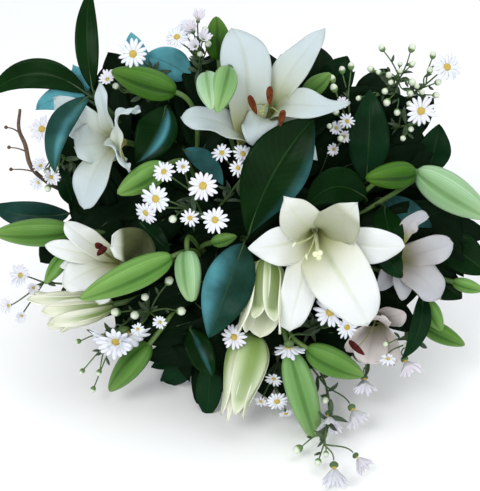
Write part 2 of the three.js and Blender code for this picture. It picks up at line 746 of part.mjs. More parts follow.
// The aster sprays: a head has a place, a size and the way it looks, and a bud is column, row, depth and size
const asterSprays = {
  top_left: {
    lane: 106,
    fork: [188, 94, -90],
    arms: [
      { at: [148, 66, -32], bend: [-12, 0, -8], heads: [{ place: [133, 54, -5], size: 23 }] },
      {
        at: [200, 56, -44],
        heads: [
          { place: [177, 37, -24], size: 21, look: [-0.2, 0.7, 0.6] },
          { place: [187, 27, -32], size: 18, look: [0.1, 0.9, 0.4] },
        ],
        buds: [[199, 22, -26, 7], [203, 36, -18, 7], [204, 48, -14, 7]],
      },
    ],
  },
  centre_left: {
    lane: 151,
    fork: [204, 218, -66],
    arms: [
      {
        at: [190, 190, -4],
        heads: [
          { place: [164, 172, 28], size: 19, look: [-0.3, 0.2, 0.9] },
          { place: [183, 167, 24], size: 12, cupped: 0.6 },
          { place: [203, 186, 28], size: 25 },
        ],
      },
      {
        at: [188, 208, -4],
        heads: [
          { place: [156, 199, 26], size: 25, look: [-0.3, -0.1, 0.9] },
          { place: [146, 213, 20], size: 21, look: [-0.5, -0.5, 0.7] },
          { place: [190, 218, 20], size: 16, look: [0, -0.3, 0.9] },
          { place: [215, 220, 24], size: 22 },
        ],
        buds: [[173, 219, 18, 8]],
      },
      {
        at: [241, 179, -20],
        heads: [
          { place: [222, 153, 4], size: 17, look: [-0.2, 0.3, 0.9] },
          { place: [243, 154, 2], size: 18, look: [0.3, 0.3, 0.9] },
          { place: [238, 168, 8], size: 15 },
        ],
      },
    ],
  },
  top_right: {
    lane: 36,
    fork: [376, 116, -96],
    arms: [
      {
        at: [400, 78, -62],
        buds: [
          [382, 48, -52, 7], [412, 48, -50, 8], [371, 69, -54, 7], [379, 72, -52, 6],
          [412, 64, -50, 7], [389, 75, -48, 7], [410, 93, -46, 7], [385, 91, -48, 7],
        ],
      },
      {
        at: [426, 84, -58],
        heads: [{ place: [447, 67, -36], size: 25, look: [0.2, 0.1, 0.9] }],
        buds: [[433, 55, -48, 7], [438, 82, -44, 7], [436, 95, -44, 7]],
      },
      {
        at: [412, 124, -48],
        heads: [{ place: [421, 111, -20], size: 26 }],
        buds: [[411, 129, -30, 6], [403, 138, -32, 6], [409, 104, -38, 6]],
      },
      {
        at: [352, 128, -48],
        heads: [{ place: [347, 121, -30], size: 14 }],
        buds: [[339, 131, -34, 7], [351, 66, -50, 7], [342, 70, -50, 7]],
      },
    ],
  },
  left: {
    lane: 165,
    fork: [92, 176, -100],
    arms: [
      {
        at: [56, 152, -60],
        heads: [{ place: [42, 129, -30], size: 23, look: [-0.2, 0.2, 0.9] }],
        buds: [[44, 168, -46, 8], [51, 177, -44, 8], [37, 165, -50, 7]],
      },
    ],
  },
  low_left: {
    lane: 216,
    fork: [150, 300, -92],
    arms: [
      {
        at: [150, 312, -44],
        heads: [
          { place: [160, 322, -12], size: 12, cupped: 0.4 },
          { place: [138, 329, -14], size: 11, cupped: 0.4 },
        ],
        buds: [
          [116, 312, -20, 9], [135, 315, -18, 9], [145, 297, -12, 8], [181, 311, -14, 9], [169, 281, -16, 9],
        ],
      },
      {
        at: [112, 334, -68],
        heads: [
          { place: [113, 342, -34], size: 24, look: [-0.3, -0.5, 0.8], cupped: 0.3 },
          { place: [131, 343, -34], size: 22, look: [0.4, -0.5, 0.8], cupped: 0.3 },
        ],
        buds: [[78, 341, -72, 6], [82, 371, -72, 6], [93, 389, -74, 6], [99, 372, -66, 6]],
      },
      {
        at: [44, 280, -84],
        heads: [{ place: [21, 275, -70], size: 13, look: [-0.4, 0.1, 0.9] }],
        buds: [[33, 288, -72, 8], [9, 305, -76, 7], [23, 315, -76, 8]],
      },
    ],
  },
  low_centre: {
    lane: 300,
    fork: [304, 308, -94],
    arms: [
      {
        at: [322, 328, -40],
        heads: [
          { place: [330, 312, -6], size: 27 },
          { place: [347, 327, -10], size: 20, look: [0.2, -0.3, 0.9] },
        ],
      },
      {
        at: [314, 334, -40],
        heads: [{ place: [289, 345, -4], size: 27, look: [0, -0.8, 0.6], cupped: 0.2 }],
      },
    ],
  },
  bottom: {
    lane: 284,
    fork: [286, 338, -94],
    arms: [
      {
        at: [272, 378, -62],
        heads: [
          { place: [277, 401, -40], size: 20, look: [0, -0.5, 0.86] },
          { place: [261, 401, -44], size: 14, look: [-0.3, -0.6, 0.7] },
          { place: [286, 413, -44], size: 15, look: [0.2, -0.8, 0.5] },
        ],
      },
      {
        at: [326, 386, -64],
        heads: [
          { place: [329, 414, -38], size: 22, look: [0, -0.85, 0.5], cupped: 0.75 },
          { place: [352, 408, -40], size: 23, look: [0.4, -0.8, 0.5], cupped: 0.75 },
        ],
        buds: [[325, 400, -40, 8]],
      },
      {
        at: [324, 444, -20],
        bend: [44, 0, 0],
        heads: [
          { place: [334, 466, 4], size: 24, look: [0, -0.85, 0.5], cupped: 0.75 },
          { place: [356, 456, -4], size: 18, look: [0.6, -0.7, 0.4], cupped: 0.8 },
        ],
        buds: [[318, 462, -8, 7], [298, 449, -22, 9], [326, 454, -10, 6]],
      },
    ],
  },
  low_right: {
    lane: 322,
    fork: [398, 320, -104],
    arms: [
      {
        at: [416, 340, -42],
        heads: [
          { place: [405, 360, -30], size: 22, look: [0.4, -0.8, 0.5], cupped: 0.65 },
          { place: [388, 358, -20], size: 15, look: [-0.1, -0.6, 0.7], cupped: 0.3 },
        ],
        buds: [[407, 345, -34, 7], [386, 344, -26, 6]],
      },
      {
        at: [366, 366, -66],
        heads: [{ place: [364, 378, -50], size: 22, look: [0, -0.85, 0.5], cupped: 0.65 }],
      },
    ],
  },
};

const brownTwig = {
  lane: 179,
  fork: [62, 190, -94],
  places: [[45, 180, -72], [31, 166, -62], [25, 144, -58], [19, 129, -58], [20, 109, -60]],
  spurs: [[0.5, [11, 169, -60]], [0.62, [9, 147, -60]], [0.8, [6, 127, -58]]],
};

// The group that lays the face down: tilted back, and set so that the surface is at height zero
const tilt = THREE.MathUtils.degToRad(90 - faceTilt);
const bouquet = new THREE.Group();
bouquet.rotation.x = tilt;
bouquet.position.set(faceCentre[0], faceCentre[1], restHeight);
bouquet.updateMatrixWorld();

// Everything below the surface is taken off, so that what touches it has a flat spot there
const belowSurface = new THREE.BoxGeometry(900, 900, 200).translate(0, 0, -100);
belowSurface.applyMatrix4(bouquet.matrixWorld.clone().invert());
const surface = solid(belowSurface);

function add(name, finish, made) {
  const mesh = made.subtract(surface).getMesh();
  const geometry = new THREE.BufferGeometry();
  geometry.setAttribute("position", new THREE.Float32BufferAttribute(mesh.vertProperties, 3));
  geometry.setIndex([...mesh.triVerts]);
  geometry.computeVertexNormals();
  const material = new THREE.MeshStandardMaterial({ ...finishes[finish], metalness: 0 });
  const piece = new THREE.Mesh(geometry, material);
  piece.name = name;
  bouquet.add(piece);
}

for (const [name, lily] of Object.entries(lilies)) {
  const carried = [...lily.blooms];
  for (const opening of Object.values(openings)) {
    if (opening.stem !== name) continue;
    const axis = spot(opening.tip).sub(spot(opening.heart)).toArray();
    carried.push({ heart: opening.heart, axis });
  }
  add(`lily_stem_${name}`, "stem", lilyStalks({ ...lily, blooms: carried }));
  lily.blooms.forEach((flower, index) => {
    const label = index ? `${name}_second` : name;
    add(`lily_bloom_${label}`, "petal", bloom(flower));
    if (flower.anthers.length || flower.pistil) add(`lily_stamens_${label}`, "stamen", stamens(flower));
  });
}
for (const [name, bud] of Object.entries(openings)) add(`lily_opening_${name}`, "opening", openingBud(bud));
for (const [name, twig] of Object.entries(leafyTwigs)) add(`leafy_twig_${name}`, "leaf", leafyTwig(twig));
for (const [name, spray] of Object.entries(asterSprays)) add(`aster_spray_${name}`, "aster", asterSpray(spray));
add("brown_twig", "twig", bareTwig(brownTwig));
add("tie", "twine", tieBand());

export default bouquet;
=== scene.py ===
import math
import random

import bmesh
import bpy
from mathutils import Matrix, Vector
from mathutils.geometry import interpolate_bezier


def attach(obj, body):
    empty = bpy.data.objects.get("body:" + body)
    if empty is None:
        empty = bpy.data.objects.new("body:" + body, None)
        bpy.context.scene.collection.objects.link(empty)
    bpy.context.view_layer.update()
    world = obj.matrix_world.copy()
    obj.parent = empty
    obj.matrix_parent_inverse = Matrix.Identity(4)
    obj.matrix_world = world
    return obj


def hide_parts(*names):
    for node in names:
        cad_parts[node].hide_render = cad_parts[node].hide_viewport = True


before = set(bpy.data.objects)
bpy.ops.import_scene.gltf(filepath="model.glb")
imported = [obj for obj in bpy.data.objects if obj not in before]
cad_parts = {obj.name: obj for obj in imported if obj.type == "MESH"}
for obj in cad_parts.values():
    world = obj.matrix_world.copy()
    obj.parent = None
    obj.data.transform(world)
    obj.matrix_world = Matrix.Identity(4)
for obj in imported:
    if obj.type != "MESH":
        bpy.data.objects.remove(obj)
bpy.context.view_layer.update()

# Places are given as column and row on the bouquet's face, and depth in mm towards the viewer
mm = 0.001
face = {
    "width": 0.408,
    "columns": 480,
    "rows": 480,
    "distance": 1.1,
    "tilt": 35,
    "height": 0.173,
    "centre": (0.0022, -0.05693),
    "aim": (240, 245.5, 0),
}
tie = {"depth": -0.150, "width": 0.013, "bore": 0.0172, "wall": 0.0034, "turns": 5}
cutDepth = -0.278

# Stems: radius in mm, ring is how far from the bundle's middle they pass through the tie, exit is
# how far in front of the tie they start to spread, and pitch is the step between their branches
lilyStem = {"radius": 3.4, "ring": 0.0077, "exit": 0.032, "pitch": 0.03}
leafStem = {"radius": 1.9, "ring": 0.0142, "exit": 0.009, "pitch": 0.035}
asterStem = {"radius": 1.5, "ring": 0.0146, "exit": 0.009, "pitch": 0.04}
branching = {"first": 0.01, "stretch": 0.2}
# Stalks: how far back they follow what they carry, and their radii in mm at both ends
flowerStalk = {"reach": 0.04, "radii": (2.0, 2.6)}
budStalk = {"reach": 0.034, "radii": (1.7, 2.3)}
headStalk = {"reach": 0.009, "radii": (0.8, 0.6)}
towardsViewer = Vector((0, 0, 1))
facePlace = (
    Matrix.Translation((*face["centre"], face["height"]))
    @ Matrix.Rotation(math.radians(90 - face["tilt"]), 4, "X")
)


def spot(place):
    column, row, depth = place
    near = 1 - depth * mm / face["distance"]
    scale = face["width"] / face["columns"] * near
    return Vector(((column - face["columns"] / 2) * scale, (face["rows"] / 2 - row) * scale, depth * mm))


def newObject(name, data):
    piece = bpy.data.objects.new(name, data)
    bpy.context.scene.collection.objects.link(piece)
    return piece


# Camera, at right angles to the face and a little below its middle
camera = newObject("camera", bpy.data.cameras.new("camera"))
camera.data.sensor_fit = "HORIZONTAL"
camera.data.lens = camera.data.sensor_width * face["distance"] / face["width"]
camera.data.clip_start = 0.05
lookAt = facePlace @ spot(face["aim"])
camera.location = lookAt + facePlace.to_3x3() @ Vector((0, 0, face["distance"]))
camera.rotation_euler = (math.radians(90 - face["tilt"]), 0, 0)
bpy.context.scene.camera = camera


# Shader helpers
def add(tree, kind, inputs=None, **settings):
    node = tree.nodes.new(kind)
    for key, value in settings.items():
        setattr(node, key, value)
    for key, value in (inputs or {}).items():
        if isinstance(value, bpy.types.NodeSocket):
            tree.links.new(value, node.inputs[key])
        else:
            node.inputs[key].default_value = value
    return node


def attribute(tree, name):
    return add(tree, "ShaderNodeAttribute", attribute_name=name).outputs["Fac"]


def calculate(tree, operation, *values):
    return add(tree, "ShaderNodeMath", dict(enumerate(values)), operation=operation).outputs[0]


def times(tree, first, second):
    return calculate(tree, "MULTIPLY", first, second)


def smoothRange(tree, value, low, high, start=0.0, end=1.0):
    inputs = {"Value": value, "From Min": low, "From Max": high, "To Min": start, "To Max": end}
    return add(tree, "ShaderNodeMapRange", inputs, interpolation_type="SMOOTHSTEP").outputs["Result"]


def blendColours(tree, amount, first, second):
    pair = [value if isinstance(value, bpy.types.NodeSocket) else (*value, 1) for value in (first, second)]
    node = add(tree, "ShaderNodeMix", {"Factor": amount, 6: pair[0], 7: pair[1]}, data_type="RGBA")
    return node.outputs[2]


def newGroup(name, labels, result):
    group = bpy.data.node_groups.new(name, "ShaderNodeTree")
    for label in labels:
        group.interface.new_socket(label, in_out="INPUT", socket_type="NodeSocketFloat")
    group.interface.new_socket(result, in_out="OUTPUT", socket_type="NodeSocketFloat")
    return group, group.nodes.new("NodeGroupInput"), group.nodes.new("NodeGroupOutput")


def mottleGroup():
    group, start, end = newGroup("mottle", ["Scale"], "Value")
    place = add(group, "ShaderNodeTexCoord").outputs["Object"]
    inputs = {"Vector": place, "Scale": start.outputs["Scale"], "Detail": 4.0, "Roughness": 0.55}
    cloud = add(group, "ShaderNodeTexNoise", inputs).outputs["Fac"]
    group.links.new(smoothRange(group, cloud, 0.3, 0.7), end.inputs["Value"])
    return group


def ribsGroup():
    group, start, end = newGroup("fineRibs", ["Across", "Count"], "Height")
    wave = calculate(group, "SINE", times(group, start.outputs["Across"], start.outputs["Count"]))
    group.links.new(calculate(group, "MULTIPLY_ADD", wave, 0.5, 0.5), end.inputs["Height"])
    return group


mottle = mottleGroup()
fineRibs = ribsGroup()


def mottled(tree, scale):
    return add(tree, "ShaderNodeGroup", {"Scale": scale}, node_tree=mottle).outputs["Value"]


def ribbed(tree, across, count):
    inputs = {"Across": across, "Count": count}
    return add(tree, "ShaderNodeGroup", inputs, node_tree=fineRibs).outputs["Height"]


def surface(name, **settings):
    material = bpy.data.materials.new(name)
    material.use_nodes = True
    for key, value in settings.items():
        material.node_tree.nodes["Principled BSDF"].inputs[key].default_value = value
    return material, material.node_tree


def paint(material, colour, height, strength, depth):
    tree = material.node_tree
    shader = tree.nodes["Principled BSDF"]
    bump = add(tree, "ShaderNodeBump", {"Height": height, "Strength": strength, "Distance": depth})
    tree.links.new(colour, shader.inputs["Base Color"])
    tree.links.new(bump.outputs["Normal"], shader.inputs["Normal"])
    return material


# Materials: along, across and tone are the marks that every shape below carries
def petalMaterial(name, look):
    material, tree = surface(name, **{
        "Roughness": 0.5, "Subsurface Weight": 0.12, "Subsurface Radius": (1.0, 0.95, 0.7),
        "Subsurface Scale": 0.004, "Specular IOR Level": 0.3})
    along = attribute(tree, "along")
    across = attribute(tree, "across")
    tone = attribute(tree, "tone")
    base = blendColours(tree, times(tree, mottled(tree, 38.0), 0.3), look["petal"], look["shade"])
    for zone in ("glow", "throat"):
        base = blendColours(tree, smoothRange(tree, along, *look[f"{zone}Zone"], 0.0), base, look[zone])
    # tone blends in a real green tint at the foot of the opening lilies' petals, and painted shade on the
    # open lilies' shaded petals and along their creases
    base = blendColours(tree, times(tree, tone, 0.75), base, look["back"])
    midrib = smoothRange(tree, calculate(tree, "ABSOLUTE", across), *look["ribWidth"], 1.0, 0.0)
    fading = smoothRange(tree, along, 0.3, 0.95, look["ribStrength"], 0.1)
    base = blendColours(tree, times(tree, midrib, fading), base, look["rib"])
    tip = smoothRange(tree, along, 0.88, 1.0, 0.0, look["tipStrength"])
    base = blendColours(tree, tip, base, look["rib"])
    # Past 0.6, tone also darkens the petal with painted deep shade
    base = blendColours(tree, smoothRange(tree, tone, 0.6, 1.3), base, look["shadedBack"])
    return paint(material, base, ribbed(tree, across, 40.0), 0.18, 0.0003)


# The greens of a bud that is still dark, of a fresh one and of a pale one: its tone runs over them. Deep is
# painted shade in the creases and also the fine stripes' own colour; light is a painted highlight along the
# ridges
budGreens = {
    "deep": ((0.010, 0.040, 0.003), (0.042, 0.13, 0.016), (0.15, 0.29, 0.11)),
    "middle": ((0.028, 0.095, 0.006), (0.105, 0.245, 0.045), (0.26, 0.43, 0.24)),
    "light": ((0.052, 0.155, 0.012), (0.19, 0.37, 0.095), (0.41, 0.60, 0.42)),
    "tip": ((0.11, 0.23, 0.025), (0.27, 0.43, 0.13), (0.48, 0.62, 0.40)),
}


def budMaterial():
    material, tree = surface("budSkin", **{
        "Roughness": 0.36, "Subsurface Weight": 0.05, "Subsurface Radius": (0.5, 1.0, 0.3),
        "Subsurface Scale": 0.003, "Specular IOR Level": 0.12})
    along = attribute(tree, "along")
    ridge = attribute(tree, "across")
    tone = attribute(tree, "tone")
    early = smoothRange(tree, tone, 0.0, 0.5)
    late = smoothRange(tree, tone, 0.5, 1.0)

    def green(part):
        dark, fresh, pale = budGreens[part]
        return blendColours(tree, late, blendColours(tree, early, dark, fresh), pale)

    deep = green("deep")
    middle = green("middle")
    # Ridges painted lighter as a highlight
    colour = blendColours(tree, smoothRange(tree, ridge, -0.6, 0.9), middle, green("light"))
    colour = blendColours(tree, smoothRange(tree, along, 0.45, 1.0, 0.0, 0.55), colour, green("tip"))
    # Painted shade in the creases, weaker towards the tip
    groove = smoothRange(tree, ridge, -1.0, -0.72, 1.0, 0.0)
    groove = times(tree, groove, smoothRange(tree, along, 0.3, 1.0, 0.95, 0.5))
    colour = blendColours(tree, groove, colour, deep)
    colour = blendColours(tree, times(tree, mottled(tree, 55.0), 0.22), colour, middle)
    stripes = times(tree, ribbed(tree, ridge, 21.0), smoothRange(tree, ridge, -0.8, 0.2, 0.1, 0.34))
    colour = blendColours(tree, stripes, colour, deep)
    return paint(material, colour, ribbed(tree, ridge, 16.0), 0.3, 0.0004)


def leafMaterial(name, look):
    material, tree = surface(name, **{
        "Specular IOR Level": look["specular"], "Coat Weight": look["coat"], "Coat Roughness": 0.18})
    across = calculate(tree, "ABSOLUTE", attribute(tree, "across"))
    cloud = mottled(tree, 22.0)
    # tone blends the leaf's dark green towards a painted reflection of the sky
    base = blendColours(tree, attribute(tree, "tone"), look["dark"], look["paintedSkySheen"])
    base = blendColours(tree, times(tree, cloud, 0.7), base, look["shade"])
    slant = calculate(tree, "MULTIPLY_ADD", across, -0.35, times(tree, attribute(tree, "along"), 1.6))
    vein = smoothRange(tree, ribbed(tree, slant, 62.0), 0.8, 1.0)
    midrib = smoothRange(tree, across, 0.012, 0.05, 1.0, 0.0)
    base = blendColours(tree, times(tree, vein, look["veinStrength"]), base, look["vein"])
    base = blendColours(tree, times(tree, midrib, look["midribStrength"]), base, look["vein"])
    gloss = smoothRange(tree, cloud, 0.0, 1.0, look["gloss"], look["gloss"] + 0.16)
    tree.links.new(gloss, tree.nodes["Principled BSDF"].inputs["Roughness"])
    height = calculate(tree, "MULTIPLY_ADD", vein, -0.12, times(tree, midrib, -0.8))
    height = calculate(tree, "MULTIPLY_ADD", mottled(tree, 80.0), 0.3, height)
    return paint(material, base, height, 0.4, 0.0006)


def plainMaterial(name, first, second, roughness, scale, detail=180.0, depth=0.0003, **settings):
    material, tree = surface(name, Roughness=roughness, **settings)
    colour = blendColours(tree, mottled(tree, scale), first, second)
    return paint(material, colour, mottled(tree, detail), 0.5, depth)


def discMaterial():
    material, tree = surface("asterDisc", Roughness=0.75)
    place = add(tree, "ShaderNodeTexCoord").outputs["Object"]
    cells = add(tree, "ShaderNodeTexVoronoi", {"Vector": place, "Scale": 1500.0}).outputs["Distance"]
    dots = smoothRange(tree, cells, 0.1, 0.6)
    colour = blendColours(tree, dots, (0.80, 0.62, 0.16), (0.46, 0.32, 0.05))
    middle = smoothRange(tree, attribute(tree, "along"), 0.0, 0.6, 0.5, 0.0)
    return paint(material, blendColours(tree, middle, colour, (0.45, 0.40, 0.08)), dots, 0.8, -0.0004)


def fadingMaterial(name, foot, tip, blush, fade, roughness=0.55):
    material, tree = surface(name, Roughness=roughness)
    colour = blendColours(tree, attribute(tree, "tone"), tip, blush)
    amount = smoothRange(tree, attribute(tree, "along"), *fade, 0.0)
    return paint(material, blendColours(tree, amount, colour, foot), mottled(tree, 500.0), 0.3, 0.0002)


# Looks: a zone is where a colour ends along the petal, from and to, and its strength at the heart
openPetal = {
    "petal": (0.69, 0.715, 0.71), "shade": (0.58, 0.61, 0.58), "rib": (0.46, 0.52, 0.32),
    "glow": (0.56, 0.57, 0.38), "glowZone": (0.15, 0.75, 0.8),
    "throat": (0.26, 0.28, 0.05), "throatZone": (0.04, 0.4, 0.9),
    "ribWidth": (0.02, 0.14), "ribStrength": 0.45, "tipStrength": 0.15,
    "back": (0.30, 0.32, 0.16), "shadedBack": (0.075, 0.09, 0.035),
}
# Petal colours darkened and cooled as painted shade, for the blooms lying in shade
shadeDarkenedPetal = {
    **openPetal, "petal": (0.455, 0.525, 0.545), "shade": (0.37, 0.44, 0.44), "glow": (0.42, 0.45, 0.33),
    "rib": (0.38, 0.42, 0.34),
}
# A faint greyish blush, with the petal colours darkened as painted shade for the bloom lying in shade
blushAndShadePetal = {
    **openPetal, "petal": (0.41, 0.42, 0.445), "shade": (0.31, 0.31, 0.33), "glow": (0.35, 0.31, 0.26),
    "rib": (0.34, 0.325, 0.31),
}
rosyPetal = {**blushAndShadePetal, "petal": (0.62, 0.57, 0.56), "shade": (0.50, 0.43, 0.43)}
partingPetal = {
    **openPetal, "petal": (0.74, 0.75, 0.62), "shade": (0.64, 0.67, 0.50), "rib": (0.18, 0.29, 0.05),
    "glow": (0.44, 0.50, 0.24), "glowZone": (0.1, 0.7, 0.6),
    "throat": (0.17, 0.28, 0.05), "throatZone": (0.0, 0.4, 0.7),
    "ribWidth": (0.10, 0.62), "ribStrength": 0.85, "tipStrength": 0.1, "back": (0.22, 0.36, 0.10),
}
frontLeaf = {
    "dark": (0.0035, 0.023, 0.0035), "paintedSkySheen": (0.13, 0.45, 0.53), "shade": (0.001, 0.008, 0.001),
    "vein": (0.03, 0.08, 0.02), "veinStrength": 0.04, "midribStrength": 0.35,
    "gloss": 0.34, "coat": 0.04, "specular": 0.02,
}
# The leaves further in: the leaf colours darkened as painted shade
innerLeaf = {
    "dark": (0.003, 0.011, 0.003), "paintedSkySheen": (0.004, 0.018, 0.009), "shade": (0.001, 0.006, 0.002),
    "vein": (0.010, 0.03, 0.008), "veinStrength": 0.06, "midribStrength": 0.3,
    "gloss": 0.42, "coat": 0.0, "specular": 0.04,
}
dusty = {"roughness": 0.9, "scale": 300.0, "detail": 900.0, "depth": 0.0006, "Specular IOR Level": 0.1}
materials = {
    "petal": petalMaterial("lilyPetal", openPetal),
    "shadeDarkened": petalMaterial("shadeDarkenedPetal", shadeDarkenedPetal),
    "blush": petalMaterial("blushAndShadePetal", blushAndShadePetal),
    "rosy": petalMaterial("rosyPetal", rosyPetal),
    "parting": petalMaterial("partingPetal", partingPetal),
    "bud": budMaterial(),
    "leaf": leafMaterial("frontLeaf", frontLeaf),
    "inner": leafMaterial("innerLeaf", innerLeaf),
    "stem": plainMaterial("greenStem", (0.045, 0.10, 0.018), (0.10, 0.18, 0.035), 0.45, 40.0),
    "leafStalk": plainMaterial("leafStalk", (0.012, 0.035, 0.007), (0.030, 0.070, 0.014), 0.45, 40.0),
    "filament": plainMaterial("filament", (0.62, 0.68, 0.38), (0.74, 0.76, 0.52), 0.4, 60.0),
    "throatGreen": plainMaterial("throatGreen", (0.24, 0.27, 0.09), (0.34, 0.37, 0.15), 0.5, 60.0),
    "anther": plainMaterial("anther", (0.065, 0.014, 0.005), (0.17, 0.045, 0.012), **dusty),
    # darkAnther is the anther's own deeper red-brown, made darker still as painted shade for the blooms lying
    # further in
    "darkAnther": plainMaterial("darkAnther", (0.035, 0.006, 0.005), (0.085, 0.014, 0.012), **dusty),
    "ray": fadingMaterial("asterRay", (0.66, 0.70, 0.48), (0.68, 0.71, 0.77), (0.70, 0.60, 0.66),
                          (0.0, 0.3, 0.4)),
    "disc": discMaterial(),
    "sprigLeaf": plainMaterial("sprigLeaf", (0.010, 0.030, 0.008), (0.030, 0.065, 0.018), 0.5, 60.0),
    "sprig": plainMaterial("asterSprig", (0.035, 0.080, 0.018), (0.085, 0.150, 0.040), 0.55, 60.0),
    "asterBud": fadingMaterial("asterBud", (0.10, 0.19, 0.05), (0.62, 0.68, 0.54), (0.45, 0.55, 0.25),
                               (0.4, 0.66, 1.0)),
    "twig": plainMaterial("brownTwig", (0.06, 0.034, 0.020), (0.14, 0.082, 0.048), 0.8, 120.0, 400.0, 0.0006),
    "twine": plainMaterial("twine", (0.42, 0.29, 0.15), (0.58, 0.43, 0.25), 0.9, 260.0, 900.0, 0.0006),
}
print("materials made")


# Mesh helpers: every piece is shaped on the face and then laid down with it
weldDistance = 0.000002
floorGap = 0.0004
sheetWall = {"petal": 0.0009, "finger": 0.0010, "leaf": 0.0007, "leaflet": 0.0006}


def newShape():
    shape = bmesh.new()
    for label in ("along", "across", "tone"):
        shape.verts.layers.float.new(label)
    return shape


def ball(shape, sides, rings, radius=1):
    return bmesh.ops.create_uvsphere(shape, u_segments=sides, v_segments=rings, radius=radius)["verts"]


def sheet(shape, along, across):
    return bmesh.ops.create_grid(shape, x_segments=along, y_segments=across, size=0.5)["verts"]


def mark(shape, vertex, along, across, tone):
    layers = shape.verts.layers.float
    vertex[layers["along"]] = along
    vertex[layers["across"]] = across
    vertex[layers["tone"]] = tone


def finishPiece(name, shape, material, node, thickness=0.0):
    bmesh.ops.remove_doubles(shape, verts=shape.verts, dist=weldDistance)
    bmesh.ops.transform(shape, matrix=facePlace, verts=shape.verts)
    for vertex in shape.verts:
        vertex.co.z = max(vertex.co.z, floorGap)
    bmesh.ops.recalc_face_normals(shape, faces=shape.faces)
    for side in shape.faces:
        side.smooth = True
    mesh = bpy.data.meshes.new(name)
    shape.to_mesh(mesh)
    shape.free()
    mesh.materials.append(materials[material])
    piece = newObject(name, mesh)
    if thickness:
        wall = piece.modifiers.new("thickness", "SOLIDIFY")
        wall.thickness = thickness
        wall.offset = 0
    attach(piece, "root")
    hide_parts(node)


def pointOn(route, t):
    place = min(max(t, 0.0), 1.0) * (len(route) - 1)
    index = min(int(place), len(route) - 2)
    return route[index].lerp(route[index + 1], place - index)


def tangentOn(route, t):
    return (pointOn(route, t + 0.02) - pointOn(route, t - 0.02)).normalized()


def cubic(start, first, last, end, count=33):
    return [Vector(point) for point in interpolate_bezier(start, first, last, end, count)]


def quadratic(start, middle, end):
    return cubic(start, start.lerp(middle, 2 / 3), end.lerp(middle, 2 / 3), end)


def crossFrame(route, t):
    tangent = tangentOn(route, t)
    across = tangent.cross(Vector((0.05, 0.05, 1))).normalized()
    return across, across.cross(tangent).normalized()


# A blade is a sheet laid along a route: halfAt gives its half width and raiseAt its height
def bladeOn(shape, route, facingAt, halfAt, raiseAt, tone, steps):
    made = sheet(shape, *steps)
    for vertex in made:
        t = vertex.co.x + 0.5
        s = 2 * vertex.co.y
        tangent = tangentOn(route, t)
        side = tangent.cross(facingAt(t, tangent)).normalized()
        normal = side.cross(tangent).normalized()
        half = halfAt(t)
        mark(shape, vertex, t, s, tone)
        vertex.co = pointOn(route, t) + side * (s * half) + normal * raiseAt(t, s, half)
    return made


def budRadius(t, fullness):
    if t <= 0 or t >= 1:
        return 0.0
    return math.sin(math.pi * t ** 0.8) ** fullness * (1 - 0.12 * t)


# A bud is a ball drawn out along a route, with three ridges and a crease between them
def budOn(shape, route, width, tone, turn=0, swell=0.06, steps=(42, 26), fullness=0.62):
    for vertex in ball(shape, *steps):
        t = 1 - math.acos(min(max(vertex.co.z, -1), 1)) / math.pi
        angle = math.atan2(vertex.co.y, vertex.co.x)
        across, over = crossFrame(route, t)
        ridge = math.cos(3 * (angle - math.radians(turn)))
        crease = math.exp(-(1 + ridge) / 0.12) * 0.13
        radius = width / 2 * budRadius(t, fullness) * (1 + swell * ridge - crease)
        mark(shape, vertex, t, ridge, tone)
        vertex.co = pointOn(route, t) + (across * math.cos(angle) + over * math.sin(angle)) * radius


# A petal of an opening lily is a sheet wrapped round the route, from the belly in to the mouth
def wrappedOn(shape, route, width, place):
    form = {"layer": 0.0, "curl": 0.05, "tone": 0.0, "lip": 0, **place}
    for vertex in sheet(shape, 24, 12):
        t = vertex.co.x + 0.5
        s = 2 * vertex.co.y
        across, over = crossFrame(route, t * form["reach"])
        swell = (1 - max(0, 1 - t / form["belly"]) ** 2) ** 0.6
        late = max(0, (t - form["belly"]) / (1 - form["belly"]))
        radius = (0.12 + 0.88 * swell) * (1 + (form["mouth"] - 1) * late * late * (3 - 2 * late))
        taper = (1 - max(0, (t - 0.45) / 0.55) ** 2.6) ** 0.7 if t < 1 else 0.0
        angle = math.radians(form["turn"] + form["spread"] * s * taper)
        radius += 0.07 * form["layer"] + form["curl"] * abs(s) ** 3 + form["lip"] * max(0, t - 0.8) * 5
        # tone, strongest at the foot and along each petal's middle, paints the petal's green tint, and from
        # 0.6 on also painted shade
        mark(shape, vertex, t, s, form["tone"] * min(1, 5 * (1 - t)) * (1 - s ** 4))
        spoke = across * math.cos(angle) + over * math.sin(angle)
        vertex.co = pointOn(route, t * form["reach"]) + spoke * (radius * width / 2)


# Round stems along lists of points, each with a radius in mm
def tubes(shape, runs, sides=3):
    curve = bpy.data.curves.new("tubes", "CURVE")
    curve.dimensions = "3D"
    curve.bevel_depth = mm
    curve.bevel_resolution = sides - 1
    curve.resolution_u = 7
    curve.use_fill_caps = True
    for points, radii in runs:
        spline = curve.splines.new("BEZIER")
        spline.bezier_points.add(len(points) - 1)
        for knot, point, radius in zip(spline.bezier_points, points, radii):
            knot.co = point
            knot.radius = radius
            knot.handle_left_type = knot.handle_right_type = "AUTO"
    holder = newObject("tubes", curve)
    bpy.context.view_layer.update()
    mesh = bpy.data.meshes.new_from_object(holder.evaluated_get(bpy.context.evaluated_depsgraph_get()))
    before = len(shape.verts)
    shape.from_mesh(mesh)
    shape.verts.ensure_lookup_table()
    for vertex in shape.verts[before:]:
        mark(shape, vertex, 0.5, 0.5, 0.3)
    bpy.data.objects.remove(holder)
    bpy.data.curves.remove(curve)
    bpy.data.meshes.remove(mesh)


def stalk(start, end, direction, reach, radii):
    rise = (end - start).length
    first = start.lerp(end, 0.35)
    last = end - direction * min(reach, rise * 0.45)
    route = cubic(start, first, last, end, 9)
    return route, [radii[0] + (radii[1] - radii[0]) * k / 8 for k in range(9)]


